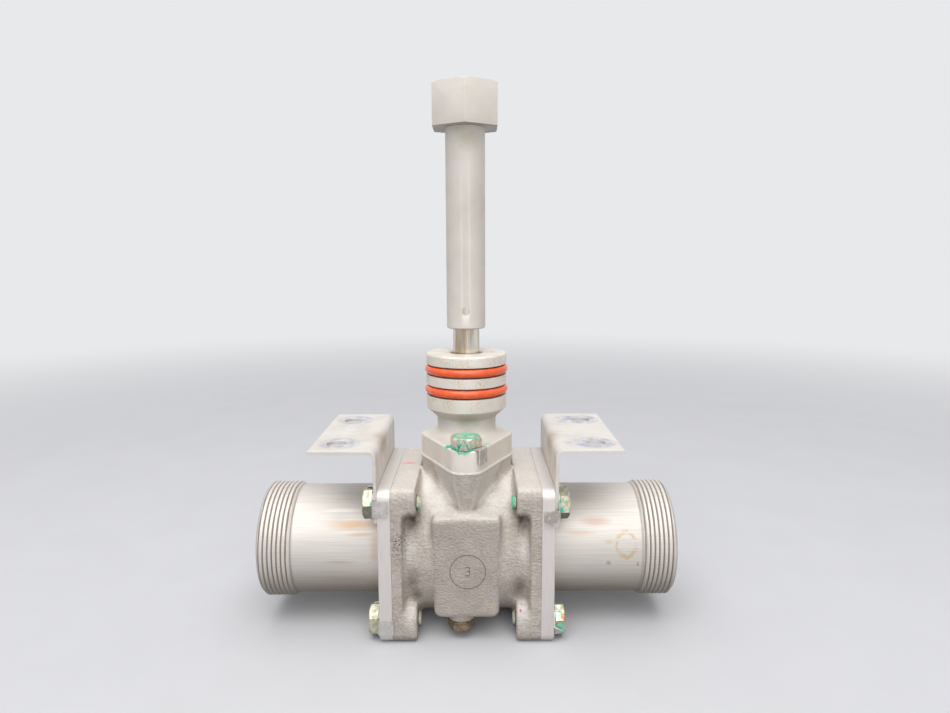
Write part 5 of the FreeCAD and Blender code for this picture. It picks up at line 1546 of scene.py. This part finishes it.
# %% Ring mark
MARK_PLACE = on_valve(0.5, -SLAB_FRONT, -1.7)
MARK_RADIUS = 7.1
MARK_LINE = 0.32
MARK_PROUD = 0.06
NUMBER_SIZE = 6.0
pressed_mark = make_plain_finish(
    "pressed_mark", ((114, 104, 94), (140, 130, 120)), (0.7, 0.8), 0.8, 0.05)


def flat_number():
    """A plain 3 as a thin flat mesh about the local XY plane."""
    text = bpy.data.curves.new("number", "FONT")
    text.body = "3"
    text.size = NUMBER_SIZE * MM
    text.align_x = "CENTER"
    text.align_y = "CENTER"
    text.extrude = 0.05 * MM
    text.offset = -0.12 * MM
    return worked("number", text)


def make_ring_mark():
    """The ring and its number, stood upright and moved on to the casting point by point."""
    lines = [circle_line(0, 0, MARK_RADIUS, 96), circle_line(0, 0, MARK_RADIUS - MARK_LINE, 96)]
    mark = bmesh.new()
    mark.from_mesh(plate_mesh(lines, 0.1, 0.02, "ring_mark"))
    mark.from_mesh(flat_number())
    bmesh.ops.remove_doubles(mark, verts=mark.verts, dist=1e-7)
    upright = Matrix.Translation(MARK_PLACE) @ Matrix.Rotation(math.pi / 2, 4, "X")
    bmesh.ops.transform(mark, matrix=upright, verts=mark.verts)
    skin = bmesh.new()
    skin.from_mesh(cast_body.data)
    casting = BVHTree.FromBMesh(skin)
    skin.free()
    for vertex in mark.verts:
        before = Vector((vertex.co.x, -2 * SLAB_FRONT * MM, vertex.co.z))
        surface = casting.ray_cast(before, Vector((0, 1, 0)))[0]
        vertex.co.y += surface.y - MARK_PLACE.y - MARK_PROUD * MM
    return mark


settle(add_piece("ring_mark", make_ring_mark(), pressed_mark), "valve")

# %% [markdown]
# The stage is a plain pale floor under a pale world. The camera and shiny metal see the world
# bright, and it lights the valve more gently than it looks, so that the overhead lamp shapes it.
# Light Path tells the two kinds of ray apart.

# %% World
WORLD_COLOUR = screen_colour(232, 233, 235)
WORLD_LIGHT = 0.53


def seen_directly(tree):
    """1 for rays from the camera, from shiny metal or through clear matter, and 0 for light."""
    path = add_node(tree, "ShaderNodeLightPath").outputs
    total = path["Is Camera Ray"]
    for name in ("Is Glossy Ray", "Is Transmission Ray"):
        inputs = {0: total, 1: path[name]}
        total = add_node(tree, "ShaderNodeMath", inputs, operation="ADD", use_clamp=True).outputs[0]
    return total


def make_world():
    """A pale world that lights the valve gently."""
    world = bpy.data.worlds.new("pale_world")
    bpy.context.scene.world = world
    world.use_nodes = True
    tree = world.node_tree
    inputs = {"Value": seen_directly(tree), "To Min": WORLD_LIGHT, "To Max": 1.0}
    strength = add_node(tree, "ShaderNodeMapRange", inputs).outputs["Result"]
    background = tree.nodes["Background"]
    background.inputs["Color"].default_value = WORLD_COLOUR
    tree.links.new(strength, background.inputs["Strength"])


make_world()
print("the world lights at %.2f of its brightness" % WORLD_LIGHT)

# %% [markdown]
# Near the valve the floor is an ordinary one and takes its shadow, but it sends less light up at
# the valve than it shows, or the undersides would glow. Far out it shows the world's own colour,
# so that no horizon cuts across the picture.

# %% Floor
FLOOR_COLOUR = screen_colour(202, 202, 205)
FLOOR_CLOUD = screen_colour(200, 200, 203)
FLOOR_LIT = screen_colour(120, 120, 123)
FLOOR_RADIUS = 6.0
FADE_START = 0.35
FADE_END = 1.1


def make_floor_finish():
    """A matt pale floor that fades into the world's colour far out."""
    finish = Finish("pale_floor")
    cloud = finish.between(finish.grain(40.0), 0.3, 0.7)
    shown = finish.blend(cloud, FLOOR_COLOUR, FLOOR_CLOUD)
    colour = finish.blend(seen_directly(finish.tree), FLOOR_LIT, shown)
    material = finish.finish(colour, finish.math("MULTIPLY_ADD", cloud, 0.05, 0.8))
    far = finish.between(finish.away_from(Vector((0, 0, 0)), (1, 1, 0)), FADE_START, FADE_END)
    faded = finish.both(far, seen_directly(finish.tree))
    glow = finish.add("Emission", {"Color": WORLD_COLOUR, "Strength": 1.0}).outputs[0]
    mixed = finish.add("MixShader", {0: faded, 1: finish.shader.outputs[0], 2: glow}).outputs[0]
    finish.tree.links.new(mixed, finish.tree.nodes["Material Output"].inputs["Surface"])
    return material


disc = bmesh.new()
bmesh.ops.create_circle(disc, cap_ends=True, radius=FLOOR_RADIUS, segments=96)
floor = in_scene("floor", to_data(disc, "floor"))
dress(floor, make_floor_finish())
floor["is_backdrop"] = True

# %% [markdown]
# Three soft square lamps look at the middle of the valve. The two large ones stand above and in
# front, and a small one fills the shadows from low on the right. All are weak enough that a
# colour shows about as it was written.

# %% Lamps
LAMP_TARGET = on_valve(0, 0, 20)
LAMPS = [
    ("overhead", (-0.02, -0.14, 1.30), 1.5, 9.8),
    ("high_front", (-0.10, -0.75, 1.00), 1.2, 9.4),
    ("front_fill", (0.16, -0.80, 0.35), 0.5, 1.1),
]
for name, place, size, power in LAMPS:
    data = bpy.data.lights.new(name, "AREA")
    data.size = size
    data.energy = power
    lamp = in_scene(name, data)
    lamp.location = place
    lamp.rotation_euler = (LAMP_TARGET - Vector(place)).to_track_quat("-Z", "Y").to_euler()
bpy.context.scene.view_settings.view_transform = "Standard"
print(len(LAMPS), "lamps")

# %% [markdown]
# Last, the size of the dressed valve is measured beside the solids' size. It has to stay inside
# their box.

# %% Print the sizes and finish
seen_low, seen_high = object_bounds()
sizes = {"cad": [list(cad_low), list(cad_high)], "visual": [list(seen_low), list(seen_high)]}
for label, (low, high) in sizes.items():
    print(label, " ".join("%.2f" % ((b - a) / MM) for a, b in zip(low, high)))
